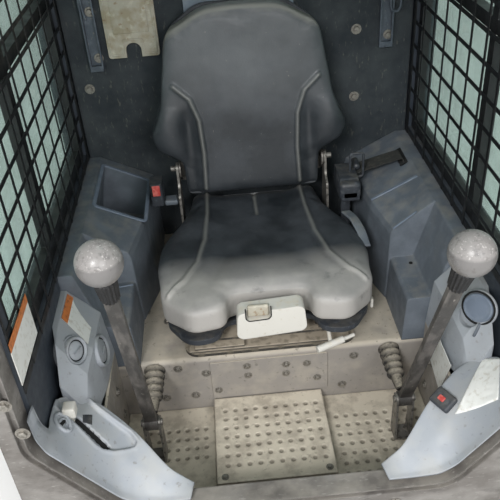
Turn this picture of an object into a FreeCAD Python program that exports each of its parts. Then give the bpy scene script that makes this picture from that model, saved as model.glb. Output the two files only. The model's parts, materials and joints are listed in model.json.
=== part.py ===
"""Operator cab of a skid steer loader, in millimetres.

Frame: +Y points to the rear of the cab and +Z up, with the origin at the bottom centre of
the cab. The operator faces -Y and climbs in through the door ring at the front. Left and
right are as seen from the front, looking in through the door: +X is right.
"""
import FreeCAD
import Part

import math
import os

V = FreeCAD.Vector

# Cab shell
CAB_WIDTH = 980.0
CAB_LENGTH = 1000.0
CAB_HEIGHT = 1400.0
ROOF_THICKNESS = 60.0
WALL_THICKNESS = 52.0          # side walls, with their window frames inside
SCREEN_THICKNESS = 3.0
RING_DEPTH = 45.0
REAR_WALL_THICKNESS = 45.0
REAR_FLANGE = 21.0             # side walls reach this far past the rear wall
LINER_THICKNESS = 14.0
PAD_THICKNESS = 8.0
SHEET = 6.0                    # floor, deck and footwell sheet

HALF = CAB_WIDTH / 2
FRONT = -CAB_LENGTH / 2
REAR = CAB_LENGTH / 2
RING_REAR = FRONT + RING_DEPTH
WALL_INNER = HALF - WALL_THICKNESS               # inner face of the side walls
SCREEN_INNER = WALL_INNER - SCREEN_THICKNESS
ROOF_BOTTOM = CAB_HEIGHT - ROOF_THICKNESS
REAR_WALL_FRONT = REAR - REAR_FLANGE - REAR_WALL_THICKNESS
LINER_FRONT = REAR_WALL_FRONT - LINER_THICKNESS
SEAT_DATUM = LINER_FRONT - 420.0                 # y that the seat's own sizes are measured from

# Interfaces to the loader's frame
PIVOT_BORE_RADIUS = 15.0       # bores for the pins that the cab tilts on
PIVOT_BORE_Y = REAR - 45.0
PIVOT_BORE_Z = 45.0
HOLD_DOWN_X = WALL_INNER - 38.0                  # hold-down holes at the front
HOLD_DOWN_Y = RING_REAR + 37.0
HOLD_DOWN_RADIUS = 11.0
HOLD_DOWN_THICKNESS = 12.0

# Door opening in the ring
DOOR_HALF_WIDTH = HALF - 44.0
DOOR_TOP = CAB_HEIGHT - 110.0
SILL_HEIGHT = 174.0
SILL_HALF_WIDTH = DOOR_HALF_WIDTH - 142.0        # the slanted lower corners start here
CORNER_HEIGHT = 368.0
DOOR_TOP_RADIUS = 110.0
DOOR_CORNER_RADIUS = 70.0

# Side windows and screens
WINDOW_BOTTOM = 490.0
WINDOW_TOP = CAB_HEIGHT - 110.0
WINDOW_FRONT = RING_REAR + 30.0
WINDOW_REAR = LINER_FRONT - 20.0
WINDOW_BAR = 26.0
WINDOW_FRAME_THICKNESS = 22.0
WINDOW_FRAME_SETBACK = 8.0     # frame sits this far out from the wall's inner face
WINDOW_POST_Y = WINDOW_FRONT + 0.436 * (WINDOW_REAR - WINDOW_FRONT)
WINDOW_BAND_Z = WINDOW_TOP - 390.0
GLASS_THICKNESS = 5.0
FIELD_DEPTH = 8.0              # pressed field on the outside of the lower side panel
FIELD_INSET = (60.0, 80.0, 90.0, 70.0)           # from its front, rear, lower and upper edge
SCREEN_BOTTOM = 470.0
SCREEN_TOP = WINDOW_TOP + 20.0
SCREEN_REAR = LINER_FRONT - 5.0
SCREEN_PITCH_Y = 78.0
SCREEN_PITCH_Z = 58.0
SCREEN_BAR = 9.0
SCREEN_BORDER = 12.0

# Rear window and roof window
REAR_WINDOW_HALF_WIDTH = WALL_INNER - 108.0
REAR_WINDOW_TOP = CAB_HEIGHT - 120.0
REAR_WINDOW_BOTTOM = REAR_WINDOW_TOP - 250.0
REAR_WINDOW_RADIUS = 60.0
PAD_HALF_WIDTH = REAR_WINDOW_HALF_WIDTH - 196.0
PAD_HEIGHT = 206.0
ROOF_WINDOW_HALF_WIDTH = HALF - 220.0
ROOF_WINDOW_FRONT = FRONT + 0.1 * CAB_LENGTH
ROOF_WINDOW_REAR = FRONT + 0.56 * CAB_LENGTH
ROOF_WINDOW_RADIUS = 50.0
ROOF_GLASS_DEPTH = 26.0        # underside of the roof glass below the roof's top
ROOF_GLASS_THICKNESS = 8.0
ROOF_CORNER = 30.0
ROOF_EDGE = 22.0
ROOF_RIB_DEPTH = 10.0
ROOF_RIB_WIDTH = 50.0
ROOF_RIBS = (0.65, 0.76, 0.87)                   # places of the pressed ribs along the cab
ROOF_RIB_HALF_LENGTH = HALF - 160.0

# Footwell and seat deck
DECK_TOP = 200.0
RISER_Y = SEAT_DATUM - 125.0   # front face of the step under the seat
FOOTWELL_LENGTH = RISER_Y - RING_REAR
FLOOR_TOP = 34.0
FLOOR_SHEET = 8.0
FOOTWELL_HALF_WIDTH = WALL_INNER - 82.0          # clear half width between the footwell walls
FOOTWELL_WALL_TOP = 250.0
PANEL_SHEET = 4.0              # access panel on the step
PANEL_RIGHT = 130.0
SIDE_TREAD_TOP = 42.0
CENTRE_TREAD_TOP = 70.0
TREAD_SHEET = 4.0
TREAD_LEFT = -146.0
TREAD_RIGHT = 114.0
TREAD_FRONT = RING_REAR + 0.25 * FOOTWELL_LENGTH

# Side consoles
CONSOLE_RIM = WALL_INNER - 32.0                  # inner edge of the flat rim beside the screen
CONSOLE_BACK_INNER = 272.0
CONSOLE_SPAN = CONSOLE_RIM - CONSOLE_BACK_INNER
CONSOLE_LENGTH = LINER_FRONT - RISER_Y
CONSOLE_BEND_INNER = CONSOLE_BACK_INNER + 0.12 * CONSOLE_SPAN
CONSOLE_STEP_INNER = CONSOLE_BACK_INNER + 0.30 * CONSOLE_SPAN
CONSOLE_BEND_Y = RISER_Y + 0.523 * CONSOLE_LENGTH
CONSOLE_STEP_Y = RISER_Y + 0.297 * CONSOLE_LENGTH
SHELF_TOP = 322.0
SHELF_OUTER = CONSOLE_BACK_INNER + 0.694 * CONSOLE_SPAN
SHELF_INNER = CONSOLE_BACK_INNER + 0.284 * CONSOLE_SPAN
CONSOLE_SLOPE_DROP = 62.0
TRAY_MIDDLE = CONSOLE_BACK_INNER + 0.4925 * CONSOLE_SPAN
TRAY_HALF_WIDTH = 0.448 * CONSOLE_SPAN
TRAY_HALF_LENGTH = 104.0
TRAY_DEPTH = 120.0
TRAY_Y = LINER_FRONT - 148.0
TRAY_Z = 430.0
BELT_SLOT_X = CONSOLE_RIM - 18.0
BELT_SLOT_WIDTH = 16.0

# Front consoles, air vents and corner trims, as on the right-hand side
FRONT_CONSOLE_LENGTH = RISER_Y - FRONT - 164.0
# share of the console's length, then the crest's distance in from the side wall and its z, the same
# of the lower edge, and z of the foot
FRONT_CONSOLE_SECTIONS = [
    (0.000, 10.0, 433.0, 72.0, 366.0, FOOTWELL_WALL_TOP),
    (0.526, 10.0, 430.0, 68.0, 362.0, FOOTWELL_WALL_TOP),
    (0.782, 14.0, 428.0, 60.0, 344.0, FOOTWELL_WALL_TOP + 4.0),
    (0.915, 16.0, 392.0, 56.0, 306.0, 280.0),
    (1.000, 16.0, 364.0, 34.0, 330.0, 312.0),
]
VENT_DEPTH = 14.0
VENT_RING = 6.0
VENT_BOSS = 40.0
VENT_CLEARANCE = 0.3
# centre of the face, outward direction and radius
FRONT_VENT = ((WALL_INNER - 47.0, RISER_Y - 0.673 * FRONT_CONSOLE_LENGTH, 389.0), (-0.87, -0.42, 0.36), 28.0)
KNEE_VENT = ((WALL_INNER - 86.0, RISER_Y - 0.393 * FRONT_CONSOLE_LENGTH, 322.0), (-0.95, -0.23, 0.2), 26.0)
TRIM_THICKNESS = 9.0
TRIM_SEAT = 24.0               # the trim reaches this far down to the ring
TRIM_SETBACK = 12.0            # behind the ring's front face
TRIM_FRONT = FRONT + TRIM_SETBACK
# distance in from the door's side and z of the lip in the ring, the same at the ring's rear edge,
# then of the free edge with its distance behind the cab's front, and the slant of the trim's seat
TRIM_STATIONS = [
    ((10.0, 440.0), (10.0, 440.0), (12.0, 49.0, 439.0), 90.0),
    ((12.0, 393.0), (12.0, 393.0), (14.0, 52.0, 393.0), 80.0),
    ((23.0, 357.0), (24.0, 357.0), (16.0, 70.0, 351.0), 54.0),
    ((38.0, 337.0), (40.0, 339.0), (11.0, 102.0, 346.0), 54.0),
    ((53.0, 316.0), (55.0, 320.0), (13.0, 154.0, 343.0), 54.0),
    ((71.0, 291.0), (74.0, 299.0), (66.0, 183.0, 302.0), 54.0),
    ((96.0, 257.0), (99.0, 266.0), (95.0, 176.0, 285.0), 54.0),
    ((129.0, 212.0), (133.0, 224.0), (128.0, 150.0, 272.0), 45.0),
    ((160.0, 190.0), (165.0, 204.0), (161.0, 122.0, 258.0), 20.0),
    ((206.0, 187.0), (210.0, 195.0), (222.0, 59.0, 222.0), 0.0),
    ((256.0, 187.0), (257.0, 188.0), (264.0, 48.0, 189.0), 0.0),
]
THROTTLE_SLOT = ((19.0 - DOOR_HALF_WIDTH, FRONT + 146.0), (114.0 - DOOR_HALF_WIDTH, FRONT + 76.0))
THROTTLE_SLOT_WIDTH = 12.0
THROTTLE_GAP = 0.3
THROTTLE_X = 42.0 - DOOR_HALF_WIDTH              # where the throttle stands in its slot
THROTTLE_STEM = (300.0, 341.0)
THROTTLE_GRIP = 23.0

# Steering levers
LEVER_X = FOOTWELL_HALF_WIDTH - 78.0
PIVOT_Y = RISER_Y - 137.0 * FOOTWELL_LENGTH / 330.0
PIVOT_Z = 156.0
# side, knob x, knob y and knob z: the right lever stands a little further forward
LEVERS = {
    "left": (8.0 - LEVER_X, FRONT + 64.0, 711.0),
    "right": (LEVER_X + 19.0, FRONT + 38.5, 683.0),
}
KNOB_DIAMETER = 75.0
KNOB_COLLAR = 3.0
SLEEVE_LENGTH = 52.0
SLEEVE_RADIUS = 15.0
LEVER_WIDTH = 26.0
LEVER_THICKNESS = 11.0
PIN_DIAMETER = 16.0
PIN_CLEARANCE = 0.05
HUB_DIAMETER = 34.0
HUB_WIDTH = 28.0
CLEVIS_THICKNESS = 5.0
CLEVIS_GAP = 0.5               # each side of the lever's hub
CLEVIS_LENGTH = 40.0
BOOT_X = LEVER_X - 3.0
BOOT_Z = 176.0
BOOT_TILT = 9.0                # the push rod points down to the lever's lower end
BOOT_RADIUS = 24.0
BOOT_WAIST = 18.5
BOOT_LENGTH = RISER_Y - PIVOT_Y - 25.0
BOOT_FOLDS = 4
SLEEVE_RIBS = 7

# Seat
CUSHION_TOP = 388.0
CUSHION_BOTTOM = 292.0
CUSHION_ROUND = 23.0
PAN_THICKNESS = 14.0
BACK_LEAN = 6.0
BACK_BOTTOM = 404.0
BACK_THICKNESS = 84.0
BACK_FRONT_Y = 262.0           # front face of the back at its lower edge
BACK_ROUND = 16.0
BACK_SHELL_THICKNESS = 12.0
BRACKET_X = 190.0
BRACKET_THICKNESS = 6.0
BACK_PIN_Y = 309.0
BACK_PIN_Z = 472.0
BACK_PIN_RADIUS = 7.0
HINGE_GAP = 0.5
HINGE_THICKNESS = 5.0
RAIL_X = 130.0
SUSPENSION_HALF_WIDTH = 200.0

# Seat bar
STRAP_X = WALL_INNER - 89.0    # inner edge of the wall strap
STRAP_WIDTH = 34.0
STRAP_DEPTH = 14.0
STRAP_WALL = 4.5
STRAP_TOP = REAR_WINDOW_BOTTOM - 24.0
STRAP_BOTTOM = STRAP_TOP - 294.0
EAR_THICKNESS = 8.0
BAR_PIVOT_Y = LINER_FRONT - 50.0
BAR_PIVOT_Z = STRAP_TOP - 46.0
BAR_ARM_X = STRAP_X + 3.0
BAR_ARM_LENGTH = 560.0
BAR_ARM_HALF_WIDTH = 17.0
BAR_ARM_THICKNESS = 12.0
BAR_RAISED_ANGLE = 27.0
BAR_TUBE_DIAMETER = 28.0
BAR_PIN_RADIUS = 9.0
BAR_PAD = (200.0, 440.0)       # the armrest pad's reach along the arm
BAR_PAD_THICKNESS = 28.0

# Small parts on the walls
POCKET_SIDES = (17.0 - STRAP_X, 145.0 - STRAP_X)
POCKET_TOP = REAR_WINDOW_BOTTOM - 70.0
POCKET_HEIGHT = 220.0
POCKET_THICKNESS = 10.0
NOTCH_WIDTH = 38.0
NOTCH_HEIGHT = 36.0
HANDLE_TOP = DOOR_TOP - 230.0
HANDLE_LENGTH = 280.0
HANDLE_RADIUS = 10.0
HANDLE_SETBACK = 22.0


def box(x0, x1, y0, y1, z0, z1):
    """Block between two corners."""
    return Part.makeBox(x1 - x0, y1 - y0, z1 - z0, V(x0, y0, z0))


def rod(radius, start, end):
    """Round bar between two points."""
    axis = V(*end) - V(*start)
    return Part.makeCylinder(radius, axis.Length, V(*start), axis)


def mirrored(shape):
    """The same piece on the other side of the cab."""
    return shape.mirror(V(0, 0, 0), V(1, 0, 0))


def both(shape):
    """A piece and its mirror image, as one node."""
    return Part.makeCompound([shape, mirrored(shape)])


def outline(points, place):
    """Closed wire through (u, v, corner radius) points; place turns (u, v) into a point."""
    count = len(points)
    starts, ends, arcs = [], [], []
    for i, (u, v, radius) in enumerate(points):
        here = V(u, v, 0)
        to_last = V(*points[i - 1][:2], 0) - here
        to_next = V(*points[(i + 1) % count][:2], 0) - here
        half_angle = to_last.getAngle(to_next) / 2
        if radius <= 0:
            starts.append(here)
            ends.append(here)
            arcs.append(None)
            continue
        reach = radius / math.tan(half_angle)
        last_unit = to_last.normalize()
        next_unit = to_next.normalize()
        bisector = (last_unit + next_unit).normalize()
        middle = here + bisector * (radius / math.sin(half_angle) - radius)
        starts.append(here + last_unit * reach)
        ends.append(here + next_unit * reach)
        arcs.append(middle)
    edges = []
    for i in range(count):
        if arcs[i] is not None:
            edges.append(Part.Arc(*[V(*place(p.x, p.y)) for p in (starts[i], arcs[i], ends[i])]).toShape())
        following = starts[(i + 1) % count]
        if (following - ends[i]).Length > 1e-6:
            edges.append(Part.LineSegment(V(*place(ends[i].x, ends[i].y)),
                                          V(*place(following.x, following.y))).toShape())
    return Part.Wire(edges)


def slab(points, axis, start, end, holes=()):
    """Outline extruded along x, y or z from start to end, with holes cut through."""
    places = {"x": lambda u, v: (start, u, v),
              "y": lambda u, v: (u, start, v),
              "z": lambda u, v: (u, v, start)}
    directions = {"x": V(end - start, 0, 0), "y": V(0, end - start, 0), "z": V(0, 0, end - start)}
    wires = [outline(p, places[axis]) for p in (points, *holes)]
    if len(wires) == 1:
        face = Part.Face(wires[0])
    else:
        face = Part.makeFace(Part.makeCompound(wires), "Part::FaceMakerBullseye")
    return face.extrude(directions[axis])


def rectangle(u0, u1, v0, v1, radius=0.0):
    """Rectangle outline with one corner radius."""
    return [(u0, v0, radius), (u1, v0, radius), (u1, v1, radius), (u0, v1, radius)]


def symmetric(points):
    """Outline made of a right half, from top to bottom, and its mirror image."""
    return points + [(-u, v, r) for u, v, r in reversed(points)]


def loft(sections):
    """Ruled solid through closed polygons with the same number of corners."""
    wires = [Part.makePolygon([V(*p) for p in s] + [V(*s[0])]) for s in sections]
    return Part.makeLoft(wires, True, True)


def door_outline(offset=0.0):
    """Door opening, with its slanted lower corners; offset shrinks it on every side."""
    half = DOOR_HALF_WIDTH - offset
    slant = math.atan2(CORNER_HEIGHT - SILL_HEIGHT, DOOR_HALF_WIDTH - SILL_HALF_WIDTH)
    return symmetric([
        (half, DOOR_TOP - offset, DOOR_TOP_RADIUS),
        (half, CORNER_HEIGHT + offset * math.tan((math.pi / 2 - slant) / 2), DOOR_CORNER_RADIUS),
        (SILL_HALF_WIDTH - offset * math.tan(slant / 2), SILL_HEIGHT + offset, DOOR_CORNER_RADIUS),
    ])


def make_door_ring():
    """Front frame of the cab, with the door opening cut out and its front edge eased."""
    ring = slab(rectangle(-HALF, HALF, 0, ROOF_BOTTOM), "y", FRONT, RING_REAR, [door_outline()])
    lip = slab(door_outline(-14.0), "y", FRONT, FRONT + 10.0, [door_outline(-2.0)])
    return ring.cut(lip)


def make_side_wall():
    """Side wall welded from a lower panel, two posts and a header round the window."""
    front, rear, low, high = FIELD_INSET
    panel = box(WALL_INNER, HALF, RING_REAR, REAR, 0, WINDOW_BOTTOM)
    field = slab(rectangle(RING_REAR + front, REAR - rear, low, WINDOW_BOTTOM - high, 50), "x",
                 HALF - FIELD_DEPTH, HALF + 1)
    pivot = rod(PIVOT_BORE_RADIUS, (WALL_INNER - 1, PIVOT_BORE_Y, PIVOT_BORE_Z),
                (HALF + 1, PIVOT_BORE_Y, PIVOT_BORE_Z))
    front_post = box(WALL_INNER, HALF, RING_REAR, WINDOW_FRONT, WINDOW_BOTTOM, ROOF_BOTTOM)
    rear_post = box(WALL_INNER, HALF, WINDOW_REAR, REAR, WINDOW_BOTTOM, ROOF_BOTTOM)
    header = box(WALL_INNER, HALF, WINDOW_FRONT, WINDOW_REAR, WINDOW_TOP, ROOF_BOTTOM)
    return Part.makeCompound([panel.cut([field, pivot]), front_post, rear_post, header])


def make_window_frame():
    """Black frame of the side window: two stiles, a middle post, and rails and a band between them."""
    inner = WALL_INNER + WINDOW_FRAME_SETBACK
    outer = inner + WINDOW_FRAME_THICKNESS
    half = WINDOW_BAR / 2
    stiles = [(WINDOW_FRONT, WINDOW_FRONT + WINDOW_BAR), (WINDOW_POST_Y - half, WINDOW_POST_Y + half),
              (WINDOW_REAR - WINDOW_BAR, WINDOW_REAR)]
    rails = [(WINDOW_BOTTOM, WINDOW_BOTTOM + WINDOW_BAR), (WINDOW_BAND_Z - half, WINDOW_BAND_Z + half),
             (WINDOW_TOP - WINDOW_BAR, WINDOW_TOP)]
    bars = [box(inner, outer, y0, y1, WINDOW_BOTTOM, WINDOW_TOP) for y0, y1 in stiles]
    bars += [box(inner, outer, y0, y1, z0, z1)
             for (_, y0), (y1, _) in zip(stiles[:-1], stiles[1:]) for z0, z1 in rails]
    return Part.makeCompound(bars)


def make_side_glass():
    """Glass pane on the outside of the window frame."""
    inner = WALL_INNER + WINDOW_FRAME_SETBACK + WINDOW_FRAME_THICKNESS
    return box(inner, inner + GLASS_THICKNESS, WINDOW_FRONT, WINDOW_REAR, WINDOW_BOTTOM, WINDOW_TOP)


def screen_bars(low, high, pitch, from_high):
    """Start and end of the screen's bars between two edges, a pitch apart and wider at both edges."""
    count = int((high - low - SCREEN_BORDER) // pitch)
    half = SCREEN_BAR / 2
    if from_high:
        middles = [high - SCREEN_BORDER - i * pitch for i in range(count, -1, -1)]
    else:
        middles = [low + SCREEN_BORDER + i * pitch for i in range(count + 1)]
    bars = [[middle - half, middle + half] for middle in middles]
    bars[0][0], bars[-1][1] = low, high
    return bars


def make_side_screen():
    """Screen welded from upright flat bars inside and level ones outside."""
    seam = SCREEN_INNER + SCREEN_THICKNESS / 2
    bars = [box(SCREEN_INNER, seam, y0, y1, SCREEN_BOTTOM, SCREEN_TOP)
            for y0, y1 in screen_bars(RING_REAR, SCREEN_REAR, SCREEN_PITCH_Y, True)]
    bars += [box(seam, WALL_INNER, RING_REAR, SCREEN_REAR, z0, z1)
             for z0, z1 in screen_bars(SCREEN_BOTTOM, SCREEN_TOP, SCREEN_PITCH_Z, False)]
    return Part.makeCompound(bars)


def rear_window_outline():
    """Outline of the rear window."""
    return rectangle(-REAR_WINDOW_HALF_WIDTH, REAR_WINDOW_HALF_WIDTH, REAR_WINDOW_BOTTOM, REAR_WINDOW_TOP,
                     REAR_WINDOW_RADIUS)


def make_rear_wall():
    """Rear wall with the rear window opening."""
    return slab(rectangle(-WALL_INNER, WALL_INNER, 0, ROOF_BOTTOM), "y", REAR_WALL_FRONT,
                REAR_WALL_FRONT + REAR_WALL_THICKNESS, [rear_window_outline()])


def make_rear_glass():
    """Rear window pane, set into the middle of the wall."""
    front = REAR_WALL_FRONT + REAR_WALL_THICKNESS / 2
    return slab(rear_window_outline(), "y", front, front + GLASS_THICKNESS)


def make_rear_liner():
    """Foam mat on the inside of the rear wall."""
    side = SCREEN_INNER - 1
    top = REAR_WINDOW_BOTTOM - 20
    return slab(rectangle(-side, side, DECK_TOP, top, 8), "y", LINER_FRONT, REAR_WALL_FRONT)


def make_rear_pad():
    """Raised pad in the middle of the liner, behind the operator's head."""
    top = REAR_WINDOW_BOTTOM - 24
    return slab(rectangle(-PAD_HALF_WIDTH, PAD_HALF_WIDTH, top - PAD_HEIGHT, top, 12), "y",
                LINER_FRONT - PAD_THICKNESS, LINER_FRONT)


def roof_window_outline():
    """Outline of the roof window."""
    return rectangle(-ROOF_WINDOW_HALF_WIDTH, ROOF_WINDOW_HALF_WIDTH, ROOF_WINDOW_FRONT, ROOF_WINDOW_REAR,
                     ROOF_WINDOW_RADIUS)


def make_roof():
    """Roof panel with a window over the operator and three pressed ribs behind it."""
    roof = slab(rectangle(-HALF, HALF, FRONT, REAR, ROOF_CORNER), "z", ROOF_BOTTOM, CAB_HEIGHT)
    roof = roof.makeFillet(ROOF_EDGE, [e for e in roof.Edges if e.BoundBox.ZMin > CAB_HEIGHT - 0.1])
    cuts = [slab(roof_window_outline(), "z", ROOF_BOTTOM - 1, CAB_HEIGHT + 1)]
    for share in ROOF_RIBS:
        y = FRONT + share * CAB_LENGTH
        cuts.append(slab(rectangle(-ROOF_RIB_HALF_LENGTH, ROOF_RIB_HALF_LENGTH, y, y + ROOF_RIB_WIDTH,
                                   ROOF_RIB_WIDTH / 2 - 1), "z", CAB_HEIGHT - ROOF_RIB_DEPTH, CAB_HEIGHT + 1))
    return roof.cut(cuts)


def make_roof_glass():
    """Glass of the roof window, resting inside its opening."""
    low = CAB_HEIGHT - ROOF_GLASS_DEPTH
    return slab(roof_window_outline(), "z", low, low + ROOF_GLASS_THICKNESS)


def make_floor_pan():
    """Bottom sheet of the footwell."""
    return box(-FOOTWELL_HALF_WIDTH - SHEET, FOOTWELL_HALF_WIDTH + SHEET, RING_REAR, RISER_Y + SHEET,
               FLOOR_TOP - FLOOR_SHEET, FLOOR_TOP)


def make_footwell_wall():
    """Side of the footwell, from the floor up to the front console."""
    inner = FOOTWELL_HALF_WIDTH
    return box(inner, inner + SHEET, RING_REAR, RISER_Y, FLOOR_TOP, FOOTWELL_WALL_TOP)


def make_hold_down():
    """Flange in the lower front corner that a stud of the loader's frame comes up through."""
    flange = box(FOOTWELL_HALF_WIDTH + SHEET, WALL_INNER, RING_REAR, RING_REAR + 80, 0, HOLD_DOWN_THICKNESS)
    hole = rod(HOLD_DOWN_RADIUS, (HOLD_DOWN_X, HOLD_DOWN_Y, -1),
               (HOLD_DOWN_X, HOLD_DOWN_Y, HOLD_DOWN_THICKNESS + 1))
    return flange.cut(hole)


def make_seat_deck():
    """Seat deck and the step below it, bent from one sheet."""
    side = FOOTWELL_HALF_WIDTH
    profile = [(RISER_Y, FLOOR_TOP, 0), (RISER_Y, DECK_TOP, 12), (REAR_WALL_FRONT, DECK_TOP, 0),
               (REAR_WALL_FRONT, DECK_TOP - SHEET, 0), (RISER_Y + SHEET, DECK_TOP - SHEET, 6),
               (RISER_Y + SHEET, FLOOR_TOP, 0)]
    middle = slab(profile, "x", -side, side)
    wing = box(side, WALL_INNER, RISER_Y, REAR_WALL_FRONT, DECK_TOP - SHEET, DECK_TOP)
    return middle.fuse([wing, mirrored(wing)]).removeSplitter()


def make_riser_panel():
    """Access panel bolted on the front of the step."""
    return slab(rectangle(TREAD_LEFT, PANEL_RIGHT, CENTRE_TREAD_TOP + 2, DECK_TOP - 14, 4), "y",
                RISER_Y - PANEL_SHEET, RISER_Y)


def make_centre_tread():
    """Raised middle tread plate, folded down at both sides."""
    left, right, front, rear = TREAD_LEFT, TREAD_RIGHT, TREAD_FRONT, RISER_Y - PANEL_SHEET
    low, high, sheet = FLOOR_TOP, CENTRE_TREAD_TOP, TREAD_SHEET
    profile = [(left, low, 0), (left, high, 5), (right, high, 5), (right, low, 0),
               (right - sheet, low, 0), (right - sheet, high - sheet, 0),
               (left + sheet, high - sheet, 0), (left + sheet, low, 0)]
    return slab(profile, "y", front, rear)


def make_side_treads():
    """Lower tread plates beside the middle one."""
    low, high = FLOOR_TOP, SIDE_TREAD_TOP
    return Part.makeCompound([
        box(-FOOTWELL_HALF_WIDTH + 1, TREAD_LEFT - 2, RING_REAR + 20, RISER_Y - 1, low, high),
        box(TREAD_RIGHT + 2, FOOTWELL_HALF_WIDTH - 1, RING_REAR + 20, RISER_Y - 1, low, high)])


def console_section(y, inner, rim_z, inner_z, foot_inner):
    """One cross section of a side console: flat rim, sloping top and inner face."""
    return [(WALL_INNER, y, DECK_TOP), (WALL_INNER, y, rim_z), (CONSOLE_RIM, y, rim_z), (inner, y, inner_z),
            (inner - 5, y, inner_z - 16), (foot_inner, y, DECK_TOP)]


def make_console():
    """Moulded console beside the seat: a sloping top that steps down to a low shelf."""
    top = SCREEN_BOTTOM
    low = top - CONSOLE_SLOPE_DROP
    back = loft([console_section(LINER_FRONT, CONSOLE_BACK_INNER, top, low - 6, CONSOLE_BACK_INNER - 6),
                 console_section(CONSOLE_BEND_Y, CONSOLE_BEND_INNER, top, low, CONSOLE_BACK_INNER - 6),
                 console_section(CONSOLE_STEP_Y, CONSOLE_STEP_INNER, top, low - 4, SHELF_INNER - 8)])
    shelf_profile = [(WALL_INNER, DECK_TOP, 0), (WALL_INNER, top, 0), (CONSOLE_RIM, top, 6),
                     (SHELF_OUTER, SHELF_TOP, 8), (SHELF_INNER, SHELF_TOP, 10),
                     (SHELF_INNER - 6, DECK_TOP, 0)]
    front = slab(shelf_profile, "y", RISER_Y, CONSOLE_STEP_Y)
    return back.fuse(front).removeSplitter()


def make_console_left():
    """Left console with its storage tray."""
    console = mirrored(make_console())
    tray = slab(rectangle(-TRAY_HALF_WIDTH, TRAY_HALF_WIDTH, -TRAY_HALF_LENGTH, TRAY_HALF_LENGTH, 8), "z",
                -TRAY_DEPTH, TRAY_DEPTH / 2)
    tilt = math.degrees(math.atan(CONSOLE_SLOPE_DROP / CONSOLE_SPAN))
    tray.rotate(V(0, 0, 0), V(0, 1, 0), tilt * 0.5)
    tray.translate(V(-TRAY_MIDDLE, TRAY_Y, TRAY_Z))
    return console.cut(tray)


def make_console_right():
    """Right console with the slot that the seat belt comes out of."""
    console = make_console()
    half = BELT_SLOT_WIDTH / 2
    slot = box(BELT_SLOT_X - half, BELT_SLOT_X + half, SEAT_DATUM + 242, SEAT_DATUM + 326,
               380, SCREEN_BOTTOM + 5)
    return console.cut(slot)


def vent_parts(centre, normal, radius):
    """Boss that carries a round air vent, the space for the vent, and the vent with its sunk flap."""
    axis = V(*normal).normalize()
    base = V(*centre) - axis * VENT_DEPTH
    boss = Part.makeCylinder(radius + 3.0, VENT_BOSS, base + axis * 3.0 - axis * VENT_BOSS, axis)
    space = Part.makeCylinder(radius + VENT_CLEARANCE, VENT_DEPTH * 4, base, axis)
    bezel = Part.makeCylinder(radius, VENT_DEPTH, base, axis)
    well = Part.makeCylinder(radius - VENT_RING, VENT_DEPTH, base + axis * 6, axis)
    flap = Part.makeCylinder(radius - VENT_RING - 3, 4, base + axis * 6, axis)
    return boss, space, bezel.cut(well).fuse(flap)


def make_front_console(vents=(FRONT_VENT,)):
    """Front console: a slanted face that narrows to a neck in front, with its vent bosses."""
    sections = []
    for share, crest_in, crest_z, edge_in, edge_z, foot_z in FRONT_CONSOLE_SECTIONS:
        y = RISER_Y - share * FRONT_CONSOLE_LENGTH
        crest_x, edge_x = WALL_INNER - crest_in, WALL_INNER - edge_in
        outer = WALL_INNER if foot_z == FOOTWELL_WALL_TOP else crest_x
        sections.append([(outer, y, foot_z), (outer, y, crest_z), (crest_x - 1, y, crest_z),
                         (edge_x, y, edge_z), (max(edge_x - 10, FOOTWELL_HALF_WIDTH), y, foot_z)])
    console = loft(sections)
    for vent in vents:
        boss, space, _ = vent_parts(*vent)
        keep = box(FOOTWELL_HALF_WIDTH - 30, WALL_INNER, RING_REAR, RISER_Y, FOOTWELL_WALL_TOP, WINDOW_BOTTOM)
        console = console.fuse(boss.common(keep)).cut(space)
    return max(console.Solids, key=lambda solid: solid.Volume)


def faceted_solid(top, bottom):
    """Closed solid between two grids of points with the same rows and columns."""
    faces = []

    def add(a, b, c):
        if (b - a).cross(c - a).Length > 1e-3:
            faces.append(Part.Face(Part.makePolygon([a, b, c, a])))

    def quad(a, b, c, d):
        add(a, b, c)
        add(a, c, d)

    rows, columns = len(top), len(top[0])
    for i in range(rows - 1):
        for j in range(columns - 1):
            quad(top[i][j], top[i][j + 1], top[i + 1][j + 1], top[i + 1][j])
            quad(bottom[i][j], bottom[i + 1][j], bottom[i + 1][j + 1], bottom[i][j + 1])
        for j in (0, columns - 1):
            quad(top[i][j], top[i + 1][j], bottom[i + 1][j], bottom[i][j])
    for i in (0, rows - 1):
        for j in range(columns - 1):
            quad(top[i][j], top[i][j + 1], bottom[i][j + 1], bottom[i][j])
    shell = Part.makeShell(faces)
    shell.sewShape()
    return Part.makeSolid(shell)


def make_corner_trim():
    """Light moulded trim over the lower corner between ring, side wall and footwell."""
    top, bottom = [], []
    for (lip_in, lip_z), (fold_in, fold_z), (edge_in, edge_back, edge_z), slant in TRIM_STATIONS:
        down = V(math.sin(math.radians(slant)), 0, -math.cos(math.radians(slant)))
        lip = V(DOOR_HALF_WIDTH - lip_in, TRIM_FRONT, lip_z)
        fold = V(DOOR_HALF_WIDTH - fold_in, RING_REAR, fold_z)
        edge = V(DOOR_HALF_WIDTH - edge_in, FRONT + edge_back, edge_z)
        top.append([lip, fold, edge])
        bottom.append([lip + down * TRIM_SEAT, fold + down * TRIM_SEAT, edge + down * TRIM_THICKNESS])
    trim = faceted_solid(top, bottom)
    for neighbour in (make_door_ring(), make_side_wall(), make_footwell_wall(), make_front_console()):
        trim = trim.cut(neighbour)
    return max(trim.removeSplitter().Solids, key=lambda solid: solid.Volume)


def throttle_slot_point(x):
    """Point on the middle line of the throttle's slot."""
    (x0, y0), (x1, y1) = THROTTLE_SLOT
    return x, y0 + (y1 - y0) * (x - x0) / (x1 - x0)


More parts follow.
